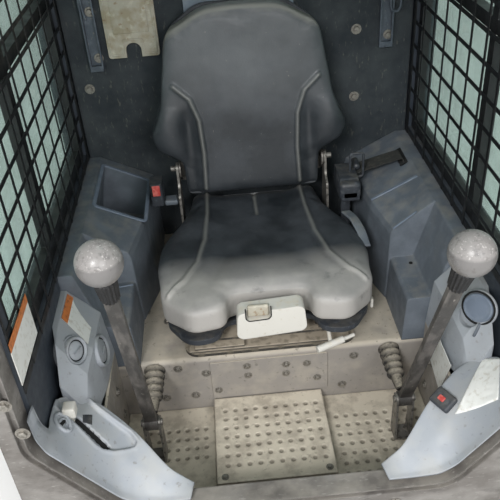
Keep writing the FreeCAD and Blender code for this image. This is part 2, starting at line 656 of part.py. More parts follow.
def make_corner_trim_left():
    """Left corner trim, with the throttle's slot."""
    (x0, y0), (x1, y1) = THROTTLE_SLOT
    half = THROTTLE_SLOT_WIDTH / 2
    slot = slab(rectangle(0, math.hypot(x1 - x0, y1 - y0), -half, half), "z", DECK_TOP, DECK_TOP + 200)
    slot.rotate(V(0, 0, 0), V(0, 0, 1), math.degrees(math.atan2(y1 - y0, x1 - x0)))
    slot.translate(V(x0, y0, 0))
    return mirrored(make_corner_trim()).cut(slot).removeSplitter()


def make_throttle():
    """Throttle lever with its square grip, standing in the slot of the left trim."""
    x, y = throttle_slot_point(THROTTLE_X)
    low, high = THROTTLE_STEM
    half = THROTTLE_GRIP / 2
    stem = rod(THROTTLE_SLOT_WIDTH / 2 - THROTTLE_GAP, (x, y, low), (x, y, high))
    grip = slab(rectangle(x - half, x + half, y - half, y + half, 4), "z", high, high + THROTTLE_GRIP)
    return stem.fuse(grip)


def make_vents():
    """Round air vents: one on each front console, one at the left knee."""
    _, _, front = vent_parts(*FRONT_VENT)
    _, _, knee = vent_parts(*KNEE_VENT)
    return Part.makeCompound([front, mirrored(front), mirrored(knee)])


def lever_ends(side):
    """Pivot centre, knob centre and the unit vector between them."""
    pivot = V(-LEVER_X if side == "left" else LEVER_X, PIVOT_Y, PIVOT_Z)
    knob = V(*LEVERS[side])
    return pivot, knob, (knob - pivot).normalize()


def along_lever(shape, side):
    """Turns a piece drawn upright at the origin to stand on the lever's pivot."""
    pivot, _, axis = lever_ends(side)
    shape.Placement = FreeCAD.Placement(pivot, FreeCAD.Rotation(V(0, 0, 1), axis)).multiply(shape.Placement)
    return shape


def make_lever(side):
    """Flat steering lever bar on its pivot hub."""
    pivot, knob, _ = lever_ends(side)
    length = (knob - pivot).Length - KNOB_DIAMETER / 2 - KNOB_COLLAR - SLEEVE_LENGTH
    half = LEVER_WIDTH / 2
    bar = slab([(-half, 0, 0), (half, 0, 0), (half, length, 5), (-half, length, 5)], "y",
               -LEVER_THICKNESS / 2, LEVER_THICKNESS / 2)
    bar = along_lever(bar, side)
    reach = V(HUB_WIDTH / 2, 0, 0)
    hub = rod(HUB_DIAMETER / 2, tuple(pivot - reach), tuple(pivot + reach))
    bore = rod(PIN_DIAMETER / 2 + PIN_CLEARANCE, tuple(pivot - reach * 2), tuple(pivot + reach * 2))
    return bar.fuse(hub).cut(bore)


def make_knob(side):
    """Ball grip on top of the lever, with its short collar."""
    _, knob, axis = lever_ends(side)
    collar = Part.makeCylinder(SLEEVE_RADIUS, KNOB_DIAMETER / 2,
                               knob - axis * (KNOB_DIAMETER / 2 + KNOB_COLLAR), axis)
    return Part.makeSphere(KNOB_DIAMETER / 2, knob).fuse(collar)


def make_sleeve(side):
    """Ribbed rubber sleeve between the bar and the ball."""
    _, knob, axis = lever_ends(side)
    top = knob - axis * (KNOB_DIAMETER / 2 + KNOB_COLLAR)
    rib = SLEEVE_LENGTH / SLEEVE_RIBS
    points = [V(0, 0, 0)]
    for i in range(SLEEVE_RIBS):
        outer = SLEEVE_RADIUS + 4.0 * i / SLEEVE_RIBS
        points += [V(outer, 0, rib * i), V(outer, 0, rib * (i + 0.6)), V(outer - 1.5, 0, rib * (i + 0.8))]
    points += [V(SLEEVE_RADIUS, 0, SLEEVE_LENGTH), V(0, 0, SLEEVE_LENGTH), V(0, 0, 0)]
    sleeve = Part.Face(Part.makePolygon(points)).revolve(V(0, 0, 0), V(0, 0, 1), 360)
    sleeve.Placement = FreeCAD.Placement(top, FreeCAD.Rotation(V(0, 0, 1), axis * -1))
    return sleeve


def make_pivot():
    """Clevis that stands on the side tread and carries the lever's pin."""
    inner = HUB_WIDTH / 2 + CLEVIS_GAP
    outer = inner + CLEVIS_THICKNESS
    low, length = SIDE_TREAD_TOP, CLEVIS_LENGTH
    ear = slab([(PIVOT_Y - length / 2, low, 0), (PIVOT_Y + length / 2, low, 0),
                (PIVOT_Y + 13, PIVOT_Z + 13, 12), (PIVOT_Y - 13, PIVOT_Z + 13, 12)], "x",
               LEVER_X + inner, LEVER_X + outer)
    other = ear.copy()
    other.translate(V(-inner - outer, 0, 0))
    web = box(LEVER_X - inner, LEVER_X + inner, PIVOT_Y - length / 2, PIVOT_Y + length / 2,
              low, low + CLEVIS_THICKNESS)
    pin = rod(PIN_DIAMETER / 2, (LEVER_X - outer - 4, PIVOT_Y, PIVOT_Z),
              (LEVER_X + outer + 4, PIVOT_Y, PIVOT_Z))
    return ear.fuse([other, web, pin]).removeSplitter()


def make_boot():
    """Bellows on the step, over the push rod that leads to the lever's lower end."""
    fold = BOOT_LENGTH * 0.62 / BOOT_FOLDS
    points = [V(0, 0, -8), V(BOOT_RADIUS, 0, -8)]
    for i in range(BOOT_FOLDS):
        points.append(V(BOOT_RADIUS - i, 0, fold * (i + 0.45)))
        points.append(V(BOOT_WAIST - i, 0, fold * (i + 0.72)))
        points.append(V(BOOT_RADIUS - 1 - i, 0, fold * (i + 1)))
    points += [V(9, 0, BOOT_LENGTH), V(0, 0, BOOT_LENGTH), V(0, 0, -8)]
    boot = Part.Face(Part.makePolygon(points)).revolve(V(0, 0, 0), V(0, 0, 1), 360)
    boot.rotate(V(0, 0, 0), V(1, 0, 0), 90 + BOOT_TILT)
    boot.translate(V(BOOT_X, RISER_Y, BOOT_Z))
    return boot.cut(box(BOOT_X - 60, BOOT_X + 60, RISER_Y, RISER_Y + 60, BOOT_Z - 60, BOOT_Z + 60))


def on_datum(shape):
    """Moves a piece of the seat, drawn for a datum at y = 0, to where the seat stands in the cab."""
    shape.translate(V(0, SEAT_DATUM, 0))
    return shape


def cushion_outline(shrink=0.0):
    """Plan of the seat cushion: narrow rear, wide front lobes and a notch between them."""
    s = shrink
    return symmetric([(168 - s, 338 - s, 26), (186 - s, 240, 60), (250 - s, 0, 120), (246 - s, -114 + s, 60),
                      (180, -186 + s, 50), (100 + s, -174 + s, 36), (84 + s, -122 + s, 30)])


def make_cushion():
    """Seat cushion as a plain closed form, well rounded above and below."""
    cushion = slab(cushion_outline(), "z", CUSHION_BOTTOM, CUSHION_TOP)
    rims = (CUSHION_BOTTOM, CUSHION_TOP)
    edges = [e for e in cushion.Edges if e.BoundBox.ZLength < 0.1
             and min(abs(e.BoundBox.ZMin - z) for z in rims) < 0.1]
    return cushion.makeFillet(CUSHION_ROUND, edges)


def make_seat_pan():
    """Steel pan under the cushion."""
    return slab(cushion_outline(16.0), "z", CUSHION_BOTTOM - PAN_THICKNESS, CUSHION_BOTTOM)


def leaned(shape):
    """Turns a piece of the seat back to its lean."""
    shape.rotate(V(0, BACK_FRONT_Y, BACK_BOTTOM), V(1, 0, 0), -BACK_LEAN)
    return shape


def back_outline(shrink=0.0):
    """Front view of the seat back: rounded head, wide shoulders and a narrow foot."""
    s = shrink
    return symmetric([(110 - s, 884 - s, 90), (188 - s, 830 - s, 70), (222 - s, 650, 120), (256 - s, 575, 50),
                      (238 - s, 534 + s, 40), (182 - s, 498, 20), (172 - s, BACK_BOTTOM + s, 18)])


def make_back_cushion():
    """Back cushion as a plain closed form."""
    back = slab(back_outline(), "y", BACK_FRONT_Y, BACK_FRONT_Y + BACK_THICKNESS - BACK_SHELL_THICKNESS)
    edges = [e for e in back.Edges if e.BoundBox.YMax < BACK_FRONT_Y + 0.1]
    return leaned(back.makeFillet(BACK_ROUND, edges))


def make_back_shell():
    """Moulded shell behind the back cushion."""
    front = BACK_FRONT_Y + BACK_THICKNESS - BACK_SHELL_THICKNESS
    return leaned(slab(back_outline(8.0), "y", front, front + BACK_SHELL_THICKNESS))


def make_bracket():
    """Steel bracket that carries the back on the seat pan."""
    low, outer = CUSHION_BOTTOM - PAN_THICKNESS, BRACKET_X + BRACKET_THICKNESS
    profile = [(236, low, 6), (330, low, 6), (334, low + 52, 10), (324, BACK_PIN_Z + 14, 12),
               (294, BACK_PIN_Z + 14, 12), (288, 430, 20), (262, 412, 10), (250, low + 40, 10)]
    plate = slab(profile, "x", BRACKET_X, outer)
    foot = box(BRACKET_X - 38, BRACKET_X, 250, 322, low - 6, low)
    edge = box(BRACKET_X, outer, 250, 322, low - 6, low + 8)
    stud = rod(BACK_PIN_RADIUS, (BRACKET_X - HINGE_GAP - HINGE_THICKNESS, BACK_PIN_Y, BACK_PIN_Z),
               (outer + 14, BACK_PIN_Y, BACK_PIN_Z))
    return plate.fuse([foot, edge, stud]).removeSplitter()


def make_back_hinge():
    """Hinge plate behind the back shell, turning on the bracket's pin."""
    outer = BRACKET_X - HINGE_GAP
    rear = BACK_FRONT_Y + BACK_THICKNESS
    top = BACK_PIN_Z + 16
    side = slab([(BACK_PIN_Y - 15, BACK_PIN_Z - 16, 10), (rear + 4, BACK_PIN_Z - 48, 4),
                 (rear + 4, top, 4), (rear - 10, top, 4), (BACK_PIN_Y - 15, BACK_PIN_Z + 14, 12)], "x",
                outer - HINGE_THICKNESS, outer)
    flange = box(outer - 40, outer, rear, rear + 4, BACK_PIN_Z - 48, top)
    hinge = leaned(side.fuse(flange))
    bore = rod(BACK_PIN_RADIUS + PIN_CLEARANCE, (outer - 20, BACK_PIN_Y, BACK_PIN_Z),
               (outer + 20, BACK_PIN_Y, BACK_PIN_Z))
    return hinge.cut(bore).removeSplitter()


def make_rail_lower():
    """Lower seat rail, fixed on the suspension."""
    return box(RAIL_X - 18, RAIL_X + 18, -110, 220, 250, 258)


def make_rail_upper():
    """Upper seat rail, under the seat pan and around the lower rail."""
    top = CUSHION_BOTTOM - PAN_THICKNESS
    block = box(RAIL_X - 24, RAIL_X + 24, -100, 210, 252, top)
    return block.cut(box(RAIL_X - 18.4, RAIL_X + 18.4, -101, 211, 251, 258.4))


def make_suspension_base():
    """Bottom plate of the seat suspension, with round corners."""
    side = SUSPENSION_HALF_WIDTH
    return slab(rectangle(-side, side, -118, 230, 32), "z", DECK_TOP, DECK_TOP + 8)


def make_suspension_links():
    """Scissor links of the suspension at their low position."""
    links = []
    for x in (-150, 144):
        for rear_low in (True, False):
            z0, z1 = (214, 238) if rear_low else (238, 214)
            x0 = x if rear_low else x + 8
            profile = [(-96, z0 - 6, 5), (-96, z0 + 6, 5), (206, z1 + 6, 5), (206, z1 - 6, 5)]
            links.append(slab(profile, "x", x0, x0 + 6))
    return Part.makeCompound(links)


def make_suspension_top():
    """Top plate of the seat suspension."""
    side = SUSPENSION_HALF_WIDTH - 6
    return slab(rectangle(-side, side, -116, 228, 32), "z", 244, 250)


def make_adjuster():
    """Weight adjuster housing in the notch of the cushion."""
    body = slab([(-76, 300, 16), (-70, 372, 14), (72, 380, 16), (78, 312, 16)], "y", -184, -144)
    window = slab([(-52, 352, 6), (-52, 384, 0), (0, 388, 0), (0, 354, 6)], "y", -190, -168)
    tab = box(-30, 30, -150, -144, 281, 312)
    foot = box(-30, 30, -150, -106, 281, 289)
    return body.cut(window).fuse([tab, foot]).removeSplitter()


def make_slide_handle():
    """Handle that frees the seat rails: a slanted grip in front of the right rail and its stem."""
    grip = rod(8, (98, -184, 251), (160, -162, 255))
    bar = rod(4.5, (98, -184, 251), (186, -152.8, 256.7))
    neck = rod(4.5, (RAIL_X, -172.6, 253), (RAIL_X, -132, 270))
    stem = rod(4.5, (RAIL_X, -134, 270), (RAIL_X, -100, 270))
    return grip.fuse([bar, neck, stem])


def make_buckle():
    """Seat belt buckle on its stiff strap."""
    stalk = box(-262, -(BRACKET_X + BRACKET_THICKNESS), 266, 288, 396, 400)
    head = slab(rectangle(-266, -234, 246, 298, 6), "z", 400, 462)
    return stalk.fuse(head)


def make_retractor():
    """Seat belt retractor on its post beside the seat."""
    profile = [(186, 396, 8), (186, 430, 18), (212, 452, 10), (300, 452, 10), (300, 396, 8)]
    housing = slab(profile, "x", 217, 264)
    post = box(228, 252, 250, 276, DECK_TOP, 396)
    return housing.fuse(post).removeSplitter()


def make_belt():
    """Webbing from the retractor to the slot in the console."""
    slot = BELT_SLOT_X + 1
    middle = (276 + slot) / 2
    points = [(264, 440, 0), (276, 446, 6), (middle, 462, 20), (slot, 476, 8), (slot, 410, 0),
              (slot - 2, 410, 0), (slot - 2, 473.6, 6), (middle, 460, 20), (276, 444, 4), (264, 438, 0)]
    return slab(points, "y", 250, 300)


def make_handbook_pocket():
    """Pale flat pocket on the liner, with a thumb notch in its lower edge."""
    low, front = POCKET_TOP - POCKET_HEIGHT, LINER_FRONT - POCKET_THICKNESS
    pocket = slab(rectangle(*POCKET_SIDES, low, POCKET_TOP, 8), "y", front, LINER_FRONT)
    middle, half = sum(POCKET_SIDES) / 2, NOTCH_WIDTH / 2
    notch = slab([(middle - half, low - 10, 0), (middle - half, low + NOTCH_HEIGHT, half - 1),
                  (middle + half, low + NOTCH_HEIGHT, half - 1), (middle + half, low - 10, 0)], "y",
                 front - 1, LINER_FRONT + 1)
    return pocket.cut(notch)


def make_wall_strap():
    """Steel strap on the rear wall that carries the seat bar's pivot."""
    front = LINER_FRONT - STRAP_DEPTH
    left, right = STRAP_X, STRAP_X + STRAP_WIDTH
    strap = box(left, right, front, LINER_FRONT, STRAP_BOTTOM, STRAP_TOP)
    groove = box(left + STRAP_WALL, right - STRAP_WALL, front, LINER_FRONT - STRAP_WALL,
                 STRAP_BOTTOM + 14, STRAP_TOP - 14)
    ear_profile = [(front, BAR_PIVOT_Z - 60, 0), (front, BAR_PIVOT_Z + 40, 0),
                   (BAR_PIVOT_Y - 20, BAR_PIVOT_Z + 25, 14), (BAR_PIVOT_Y - 20, BAR_PIVOT_Z - 22, 14)]
    ear = slab(ear_profile, "x", right - EAR_THICKNESS, right)
    pin = rod(BAR_PIN_RADIUS, (BAR_ARM_X - 10, BAR_PIVOT_Y, BAR_PIVOT_Z),
              (right - EAR_THICKNESS, BAR_PIVOT_Y, BAR_PIVOT_Z))
    return strap.cut(groove).fuse([ear, pin]).removeSplitter()


def bar_point(reach, drop=0.0):
    """Point on the raised seat bar: reach along the arm, drop square to it."""
    a = math.radians(BAR_RAISED_ANGLE)
    return (BAR_PIVOT_Y - reach * math.cos(a) - drop * math.sin(a),
            BAR_PIVOT_Z + reach * math.sin(a) - drop * math.cos(a))


def make_seat_bar():
    """Seat bar: two flat arms joined by a tube across the operator's lap, shown raised."""
    half, side = BAR_ARM_HALF_WIDTH, BAR_ARM_THICKNESS / 2
    corners = [bar_point(-half, -half), bar_point(-half, half),
               bar_point(BAR_ARM_LENGTH, half), bar_point(BAR_ARM_LENGTH, -half)]
    arm = slab([(y, z, 10) for y, z in corners], "x", BAR_ARM_X - side, BAR_ARM_X + side)
    arm = arm.cut(rod(BAR_PIN_RADIUS + PIN_CLEARANCE, (BAR_ARM_X - 20, BAR_PIVOT_Y, BAR_PIVOT_Z),
                      (BAR_ARM_X + 20, BAR_PIVOT_Y, BAR_PIVOT_Z)))
    y, z = bar_point(BAR_ARM_LENGTH - 20)
    tube = rod(BAR_TUBE_DIAMETER / 2, (-BAR_ARM_X, y, z), (BAR_ARM_X, y, z))
    return tube.fuse([arm, mirrored(arm)])


def make_bar_pads():
    """Foam armrest pads on the seat bar's arms."""
    near, far = BAR_PAD
    low, high = BAR_ARM_HALF_WIDTH + 0.3, BAR_ARM_HALF_WIDTH + BAR_PAD_THICKNESS
    corners = [bar_point(near, low), bar_point(near, high), bar_point(far, high), bar_point(far, low)]
    pad = slab([(y, z, 8) for y, z in corners], "x", BAR_ARM_X - 26, BAR_ARM_X + 14)
    return both(pad)


def make_grab_handle():
    """Grab handle on the inside of the front post."""
    x, y = DOOR_HALF_WIDTH - 34, RING_REAR - HANDLE_SETBACK
    low = HANDLE_TOP - HANDLE_LENGTH
    bar = rod(HANDLE_RADIUS, (x, y, low), (x, y, HANDLE_TOP))
    feet = [rod(HANDLE_RADIUS - 2, (x, y, z), (DOOR_HALF_WIDTH, y, z)) for z in (low + 20, HANDLE_TOP - 20)]
    return bar.fuse(feet)


NODES = {
    "door_ring": make_door_ring,
    "side_wall_left": lambda: mirrored(make_side_wall()),
    "side_wall_right": make_side_wall,
    "window_frames": lambda: both(make_window_frame()),
    "side_glass": lambda: both(make_side_glass()),
    "side_screen_left": lambda: mirrored(make_side_screen()),
    "side_screen_right": make_side_screen,
    "rear_wall": make_rear_wall,
    "rear_glass": make_rear_glass,
    "rear_liner": make_rear_liner,
    "rear_pad": make_rear_pad,
    "roof": make_roof,
    "roof_glass": make_roof_glass,
    "floor_pan": make_floor_pan,
    "hold_downs": lambda: both(make_hold_down()),
    "footwell_walls": lambda: both(make_footwell_wall()),
    "seat_deck": make_seat_deck,
    "riser_panel": make_riser_panel,
    "centre_tread": make_centre_tread,
    "side_treads": make_side_treads,
    "console_left": make_console_left,
    "console_right": make_console_right,
    "front_console_left": lambda: mirrored(make_front_console((FRONT_VENT, KNEE_VENT))),
    "front_console_right": make_front_console,
    "corner_trim_left": make_corner_trim_left,
    "corner_trim_right": make_corner_trim,
    "air_vents": make_vents,
    "throttle_lever": make_throttle,
    "lever_boots": lambda: both(make_boot()),
    "lever_pivots": lambda: both(make_pivot()),
    "lever_left": lambda: make_lever("left"),
    "lever_right": lambda: make_lever("right"),
    "knob_left": lambda: make_knob("left"),
    "knob_right": lambda: make_knob("right"),
    "sleeve_left": lambda: make_sleeve("left"),
    "sleeve_right": lambda: make_sleeve("right"),
    "belt_retractor": lambda: on_datum(make_retractor()),
    "belt_webbing": lambda: on_datum(make_belt()),
    "suspension_base": lambda: on_datum(make_suspension_base()),
    "suspension_links": lambda: on_datum(make_suspension_links()),
    "suspension_top": lambda: on_datum(make_suspension_top()),
    "rails_lower": lambda: on_datum(both(make_rail_lower())),
    "rails_upper": lambda: on_datum(both(make_rail_upper())),
    "seat_pan": lambda: on_datum(make_seat_pan()),
    "seat_cushion": lambda: on_datum(make_cushion()),
    "back_cushion": lambda: on_datum(make_back_cushion()),
    "back_shell": lambda: on_datum(make_back_shell()),
    "seat_brackets": lambda: on_datum(both(make_bracket())),
    "back_hinges": lambda: on_datum(both(make_back_hinge())),
    "weight_adjuster": lambda: on_datum(make_adjuster()),
    "slide_handle": lambda: on_datum(make_slide_handle()),
    "belt_buckle": lambda: on_datum(make_buckle()),
    "handbook_pocket": make_handbook_pocket,
    "wall_straps": lambda: both(make_wall_strap()),
    "seat_bar": make_seat_bar,
    "bar_pads": make_bar_pads,
    "grab_handles": lambda: both(make_grab_handle()),
}


def main():
    os.makedirs("parts", exist_ok=True)
    for name, make in NODES.items():
        shape = make()
        if not shape.isValid() or not shape.Solids:
            raise ValueError(f"{name} is not a valid solid")
        shape.exportStep(f"parts/{name}.step")


main()
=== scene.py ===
"""Operator cab of a skid steer loader: finishes, soft parts and moulded details over the CAD frame.

Everything is in metres in the frame of the CAD model: +Y to the rear of the cab, +Z up, and left
and right as seen from the front. Places in the tables are in millimetres.
"""

import json
import math

import bmesh
import bpy
import numpy as np
from bpy.props import FloatProperty, FloatVectorProperty, PointerProperty
from mathutils import Matrix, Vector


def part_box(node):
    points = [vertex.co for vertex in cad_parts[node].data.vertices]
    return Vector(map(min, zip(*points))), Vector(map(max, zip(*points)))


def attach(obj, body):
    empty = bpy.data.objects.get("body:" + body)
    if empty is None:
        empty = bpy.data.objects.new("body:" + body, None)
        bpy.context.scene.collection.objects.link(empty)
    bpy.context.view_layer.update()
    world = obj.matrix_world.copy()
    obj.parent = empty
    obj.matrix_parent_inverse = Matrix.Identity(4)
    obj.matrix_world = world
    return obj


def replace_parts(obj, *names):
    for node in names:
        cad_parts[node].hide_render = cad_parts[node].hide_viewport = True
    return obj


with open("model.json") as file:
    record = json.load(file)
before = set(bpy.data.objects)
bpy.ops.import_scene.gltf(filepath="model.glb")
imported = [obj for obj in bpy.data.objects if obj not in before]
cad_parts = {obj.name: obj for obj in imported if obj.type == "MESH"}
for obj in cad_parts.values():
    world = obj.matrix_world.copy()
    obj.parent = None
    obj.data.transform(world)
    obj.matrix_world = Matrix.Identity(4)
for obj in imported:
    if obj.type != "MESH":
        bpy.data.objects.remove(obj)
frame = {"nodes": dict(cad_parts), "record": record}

bl_info = {
    "name": "Loader cab dressing",
    "version": (1, 0, 0),
    "blender": (4, 5, 0),
    "location": "3D View > Sidebar > Cab",
    "description": "Builds the soft parts, moulded trims and finishes of a loader's operator cab",
    "category": "Object",
}

MM = 0.001

# Camera of the photograph: place in metres, angles in degrees, lens and sensor in millimetres; and
# the side of the floor in metres
CAMERA_PLACE = (-0.0627, -1.2943, 1.3054)
CAMERA_PITCH = 34.76
CAMERA_YAW = 1.51
CAMERA_ROLL = 4.40
CAMERA_LENS = 49.37
CAMERA_SENSOR = 36.0
FLOOR_SIZE = 14.0

# Lamps: name, place, point aimed at and side in metres, and share of the key lamp's power
LAMPS = [
    ("key", (-1.5, -4.0, 3.3), (0.0, 0.0, 0.3), 1.2, 1.0),
    ("fill", (1.5, -4.0, 2.4), (0.0, 0.0, 0.4), 1.6, 0.45),
    ("top", (0.1, 0.5, 3.4), (0.0, 0.0, 0.5), 1.4, 0.1),
]

# Places in the CAD model, in millimetres
RING_FRONT = -500
LINER_FRONT = 420
RISER_Y = -125
PANEL_Y = -129
DECK_TOP = 200
TREAD_TOP = 70
SIDE_TREAD_TOP = 42
FOOTWELL_SIDE = 356
CONSOLE_RIM = (406, 470)          # x and z where the console's top starts to slope
CONSOLE_SLOPE = 0.507
BACK_FOOT = (0.262, 0.404)        # y and z that the seat back leans about
BACK_LEAN = math.radians(6.0)

# Tread plates: radius of a dimple, spacing of the grid, and width and drop of the rounded margin
DIMPLE_RADIUS = 6.0
DIMPLE_GRID = 2.3
MARGIN_WIDTH = 3
MARGIN_DROP = 1.5
FULL_PIT_SHADE = 0.003                  # depth in metres from which a pit is all painted shade
# Pressed dimples of the treads: bounds x0, x1, y0, y1, top, foot, first dimple x and y, pitch x
# and y, columns and rows; the rows run to the front
TREADS = {
    "centre": (-146, 114, -372.5, -129, TREAD_TOP, 34, -120.5, -171.5, 23.9, 26.2, 10, 7),
    "left": (-355, -148, -435, -126, SIDE_TREAD_TOP, 34, -302.0, -195.0, 22.1, 27.0, 7, 4),
    "right": (116, 355, -435, -126, SIDE_TREAD_TOP, 34, 140.0, -196.0, 23.4, 27.0, 9, 7),
}

# Stations of the right corner trim from its upper end on the ring to its end on the sill:
# x and z of the lip, then fold, middle and free edge as x, y, z
TRIM_LIP_Y = -488
TRIM_WALL = 4
TRIM_STATIONS = [
    ((436, 440), (436, -470, 440), (435, -458, 440), (434, -451, 439)),
    ((434, 393), (434, -472, 393), (433, -460, 393), (432, -448, 393)),
    ((423, 357), (423, -472, 358), (424, -450, 358), (430, -430, 352)),
    ((408, 337), (408, -472, 338), (416, -432, 342), (435, -398, 347)),
    ((393, 316), (394, -472, 317), (408, -402, 331), (434, -346, 344)),
    ((375, 291), (376, -472, 293), (384, -388, 313), (388, -317, 312)),
    ((350, 257), (352, -472, 260), (356, -396, 290), (356, -322, 290)),
    ((317, 212), (320, -472, 217), (320, -412, 259), (318, -350, 273)),
    ((286, 190), (289, -474, 197), (288, -436, 229), (285, -378, 259)),
    ((240, 188), (240, -480, 191), (236, -464, 206), (226, -441, 224)),
    ((190, 188), (188, -482, 189), (185, -468, 191), (182, -453, 191)),
]
# Line of the dark strip along the right trim's inner edge: a punched bracket, and painted shade under the
# trim's edge
TRIM_STRIP = [(354, -322, 268), (316, -352, 250), (283, -382, 236), (232, -436, 205), (205, -450, 186)]
# Rim of the throttle's recess and its slot, in plan on the left trim
RECESS = [(-429, -345), (-383, -318), (-375, -326), (-299, -377), (-287, -392), (-291, -401), (-327, -416),
          (-346, -420), (-358, -417), (-397, -388), (-413, -379), (-427, -364)]
THROTTLE_SLOT = [(-400, -373), (-343, -411)]

# Round air vents: place, the way each faces, radius; and the oval flap as (radius, height)
VENTS = [((-391, -267, 389), (0.87, -0.42, 0.36), 28), ((-356, -208, 331), (0.975, -0.06, 0.2), 34)]
FLAP_PROFILE = [(0, -6), (33, -6), (35, -4), (35, -1.5), (33.5, 0.6), (31.5, 1.2), (29.5, 0.2), (24, 0.9),
                (12, 1.8), (0, 2.0)]

# Outlines of the seat's raised seams as |x| with y on the cushion and |x| with z on the back, and
# the sewn pleat at the cushion's rear
CUSHION_SEAM = [(124, 340), (124, 200), (129, 80), (148, -10), (183, -75), (217, -112)]
CUSHION_PLEAT = [(0, 340), (1, 190)]
BACK_SEAM = [(122, 430), (118, 525), (122, 612), (140, 668), (176, 702)]
BACK_PLAY = 0.072                 # how far behind its foot the back's cover may reach, in metres

# Seat covers: voxel of the remesh and width of a seam in metres, cloth pressure and its frames
VOXEL = 0.006
SEAM_WIDTH = 0.0055
CLOTH_PRESSURE = 4.0
CLOTH_FRAMES = 20

# Sleeves below the ball grips: length, radius at the foot, flare and gap in metres, and their flutes
SLEEVE_LENGTH = 0.052
SLEEVE_RADIUS = 0.0158
SLEEVE_FLARE = 0.0036
SLEEVE_GAP = 0.003
FLUTES = 16
FLUTE_DEPTH = 0.06

# Bellows over the push rods: length in metres, share of it that is folded, folds, and tilt
BOOT_LENGTH = 0.112
BOOT_FOLDED = 0.72
BOOT_FOLDS = 4.5
BOOT_TILT = math.radians(9)

# Rods on the rear wall, and the pocket's rim as x and z
WALL_RODS = [
    [(374, 404, 890), (373, 404, 812), (378, 404, 802), (392, 404, 801), (398, 404, 811), (399, 404, 890)],
    [(-376, 408, 892), (-375, 408, 866), (-371, 408, 840)],
]
POCKET_RIM = [(-268, 953), (-325, 953), (-325, 748), (-296, 748), (-291, 784), (-245, 784), (-240, 748),
              (-211, 748), (-211, 953), (-268, 953)]

# Bolt heads: direction, scale and their places
BOLTS = [
    ((0, -1, 0), 0.9, [(-221, PANEL_Y + 4, 176), (-157, PANEL_Y + 4, 154), (-259, PANEL_Y + 4, 84),
                       (-189, PANEL_Y + 4, 85), (166, PANEL_Y + 4, 74), (193, PANEL_Y + 4, 166)]),
    ((0, -1, 0), 0.8, [(-60, PANEL_Y, 168), (-59, PANEL_Y, 138), (32, PANEL_Y, 162), (31, PANEL_Y, 133),
                       (81, PANEL_Y, 159), (105, PANEL_Y, 110), (-132, PANEL_Y, 98)]),
    ((0, 0, 1), 1.0, [(-302, 65, DECK_TOP), (-244, 20, DECK_TOP)]),
    ((1, 0, 0), 1.0, [(-FOOTWELL_SIDE, -189, 185), (-FOOTWELL_SIDE, -170, 92)]),
    ((-1, 0, 0), 1.0, [(FOOTWELL_SIDE, -189, 185), (FOOTWELL_SIDE, -170, 92)]),
    ((0, -1, 0), 1.1, [(-457, RING_FRONT, 493), (-444, RING_FRONT, 425), (463, RING_FRONT, 470),
                       (452, RING_FRONT, 408), (201, RING_FRONT, 130)]),
    ((0, -1, 0), 1.0, [(-360, 415, 858), (-358, 415, 744), (372, 415, 742), (362, 415, 858)]),
    ((0, 0, 1), 0.7, [(-128, -358, TREAD_TOP), (98, -358, TREAD_TOP), (-170, -410, SIDE_TREAD_TOP),
                      (-300, -410, SIDE_TREAD_TOP)]),
    ((0, -1, 0), 1.1, [(292, LINER_FRONT, 760), (290, LINER_FRONT, 582), (-397, LINER_FRONT, 664)]),
]

# Blank plates: four corners in order, then the share of the way from the first edge to the
# opposite one that the coloured band takes
PLATES = [
    ([(-424, -132, 429), (-424, -210, 429), (-378, -234, 374), (-378, -132, 374)], 0.22),
    ([(-434, -331, 589), (-434, -463, 589), (-434, -463, 498), (-434, -331, 498)], 0.20),
    ([(355.5, -222, 288), (355.5, -306, 286), (354.5, -262, 171), (354.5, -184, 195)], 0.0),
    ([(365, -193, 330), (366, -226, 350), (363, -226, 318), (361, -204, 296)], 0.25),
    ([(447, -20, 876), (447, -82, 876), (447, -82, 896), (447, -20, 896)], 0.3),
    ([(447, 60, 876), (447, 20, 876), (447, 20, 896), (447, 60, 896)], 0.3),
]


def srgb(hex_colour):
    """The three sRGB values of a hex colour."""
    return tuple(int(hex_colour[i:i + 2], 16) / 255 for i in (1, 3, 5))


def linear(hex_colour):
    """Linear RGBA of an sRGB hex colour."""
    return (*[v / 12.92 if v <= 0.04045 else ((v + 0.055) / 1.055) ** 2.4 for v in srgb(hex_colour)], 1.0)


def to_hex(colour):
    """sRGB hex of a colour property, which holds sRGB values."""
    return "#" + "".join(f"{round(max(0, min(1, c)) * 255):02x}" for c in colour[:3])


def node_tree(block):
    """Node tree of a new material or world."""
    block.use_nodes = True
    return block.node_tree


def add(tree, kind, links=None, **settings):
    """Adds a node: settings name its properties or inputs, links its linked inputs.

    A setting of i and a number, such as i7, names the input by its place.
    """
    node = tree.nodes.new(kind)
    for key, value in settings.items():
        if hasattr(node, key):
            setattr(node, key, value)
        else:
            name = int(key[1:]) if key[0] == "i" and key[1:].isdigit() else key.replace("_", " ")
            node.inputs[name].default_value = value
    for key, socket in (links or {}).items():
        tree.links.new(socket, node.inputs[key])
    return node


def pattern(tree, kind, size, stretch, seed):
    """Grey pattern of one kind, its size in metres, on the piece's own coordinates."""
    # marks on the points: dust, painted shade in the dimples and a painted highlight on the seat back's rim
    if kind == "pits":
        return add(tree, "ShaderNodeAttribute", attribute_name="pit").outputs["Fac"]
    place = add(tree, "ShaderNodeTexCoord").outputs["Object"]
    mapping = add(tree, "ShaderNodeMapping", {"Vector": place}, Location=(seed, seed * 0.7, -seed),
                  Scale=tuple(1 / (size * s) for s in stretch))
    where = {"Vector": mapping.outputs["Vector"]}
    if kind == "cells":
        return add(tree, "ShaderNodeTexVoronoi", where, Scale=1.0).outputs["Distance"]
    if kind == "weave":
        return add(tree, "ShaderNodeTexWave", where, Scale=0.5, Distortion=0.4).outputs["Fac"]
    return add(tree, "ShaderNodeTexNoise", where, Scale=1.0, Detail=4.0, Roughness=0.55).outputs["Fac"]


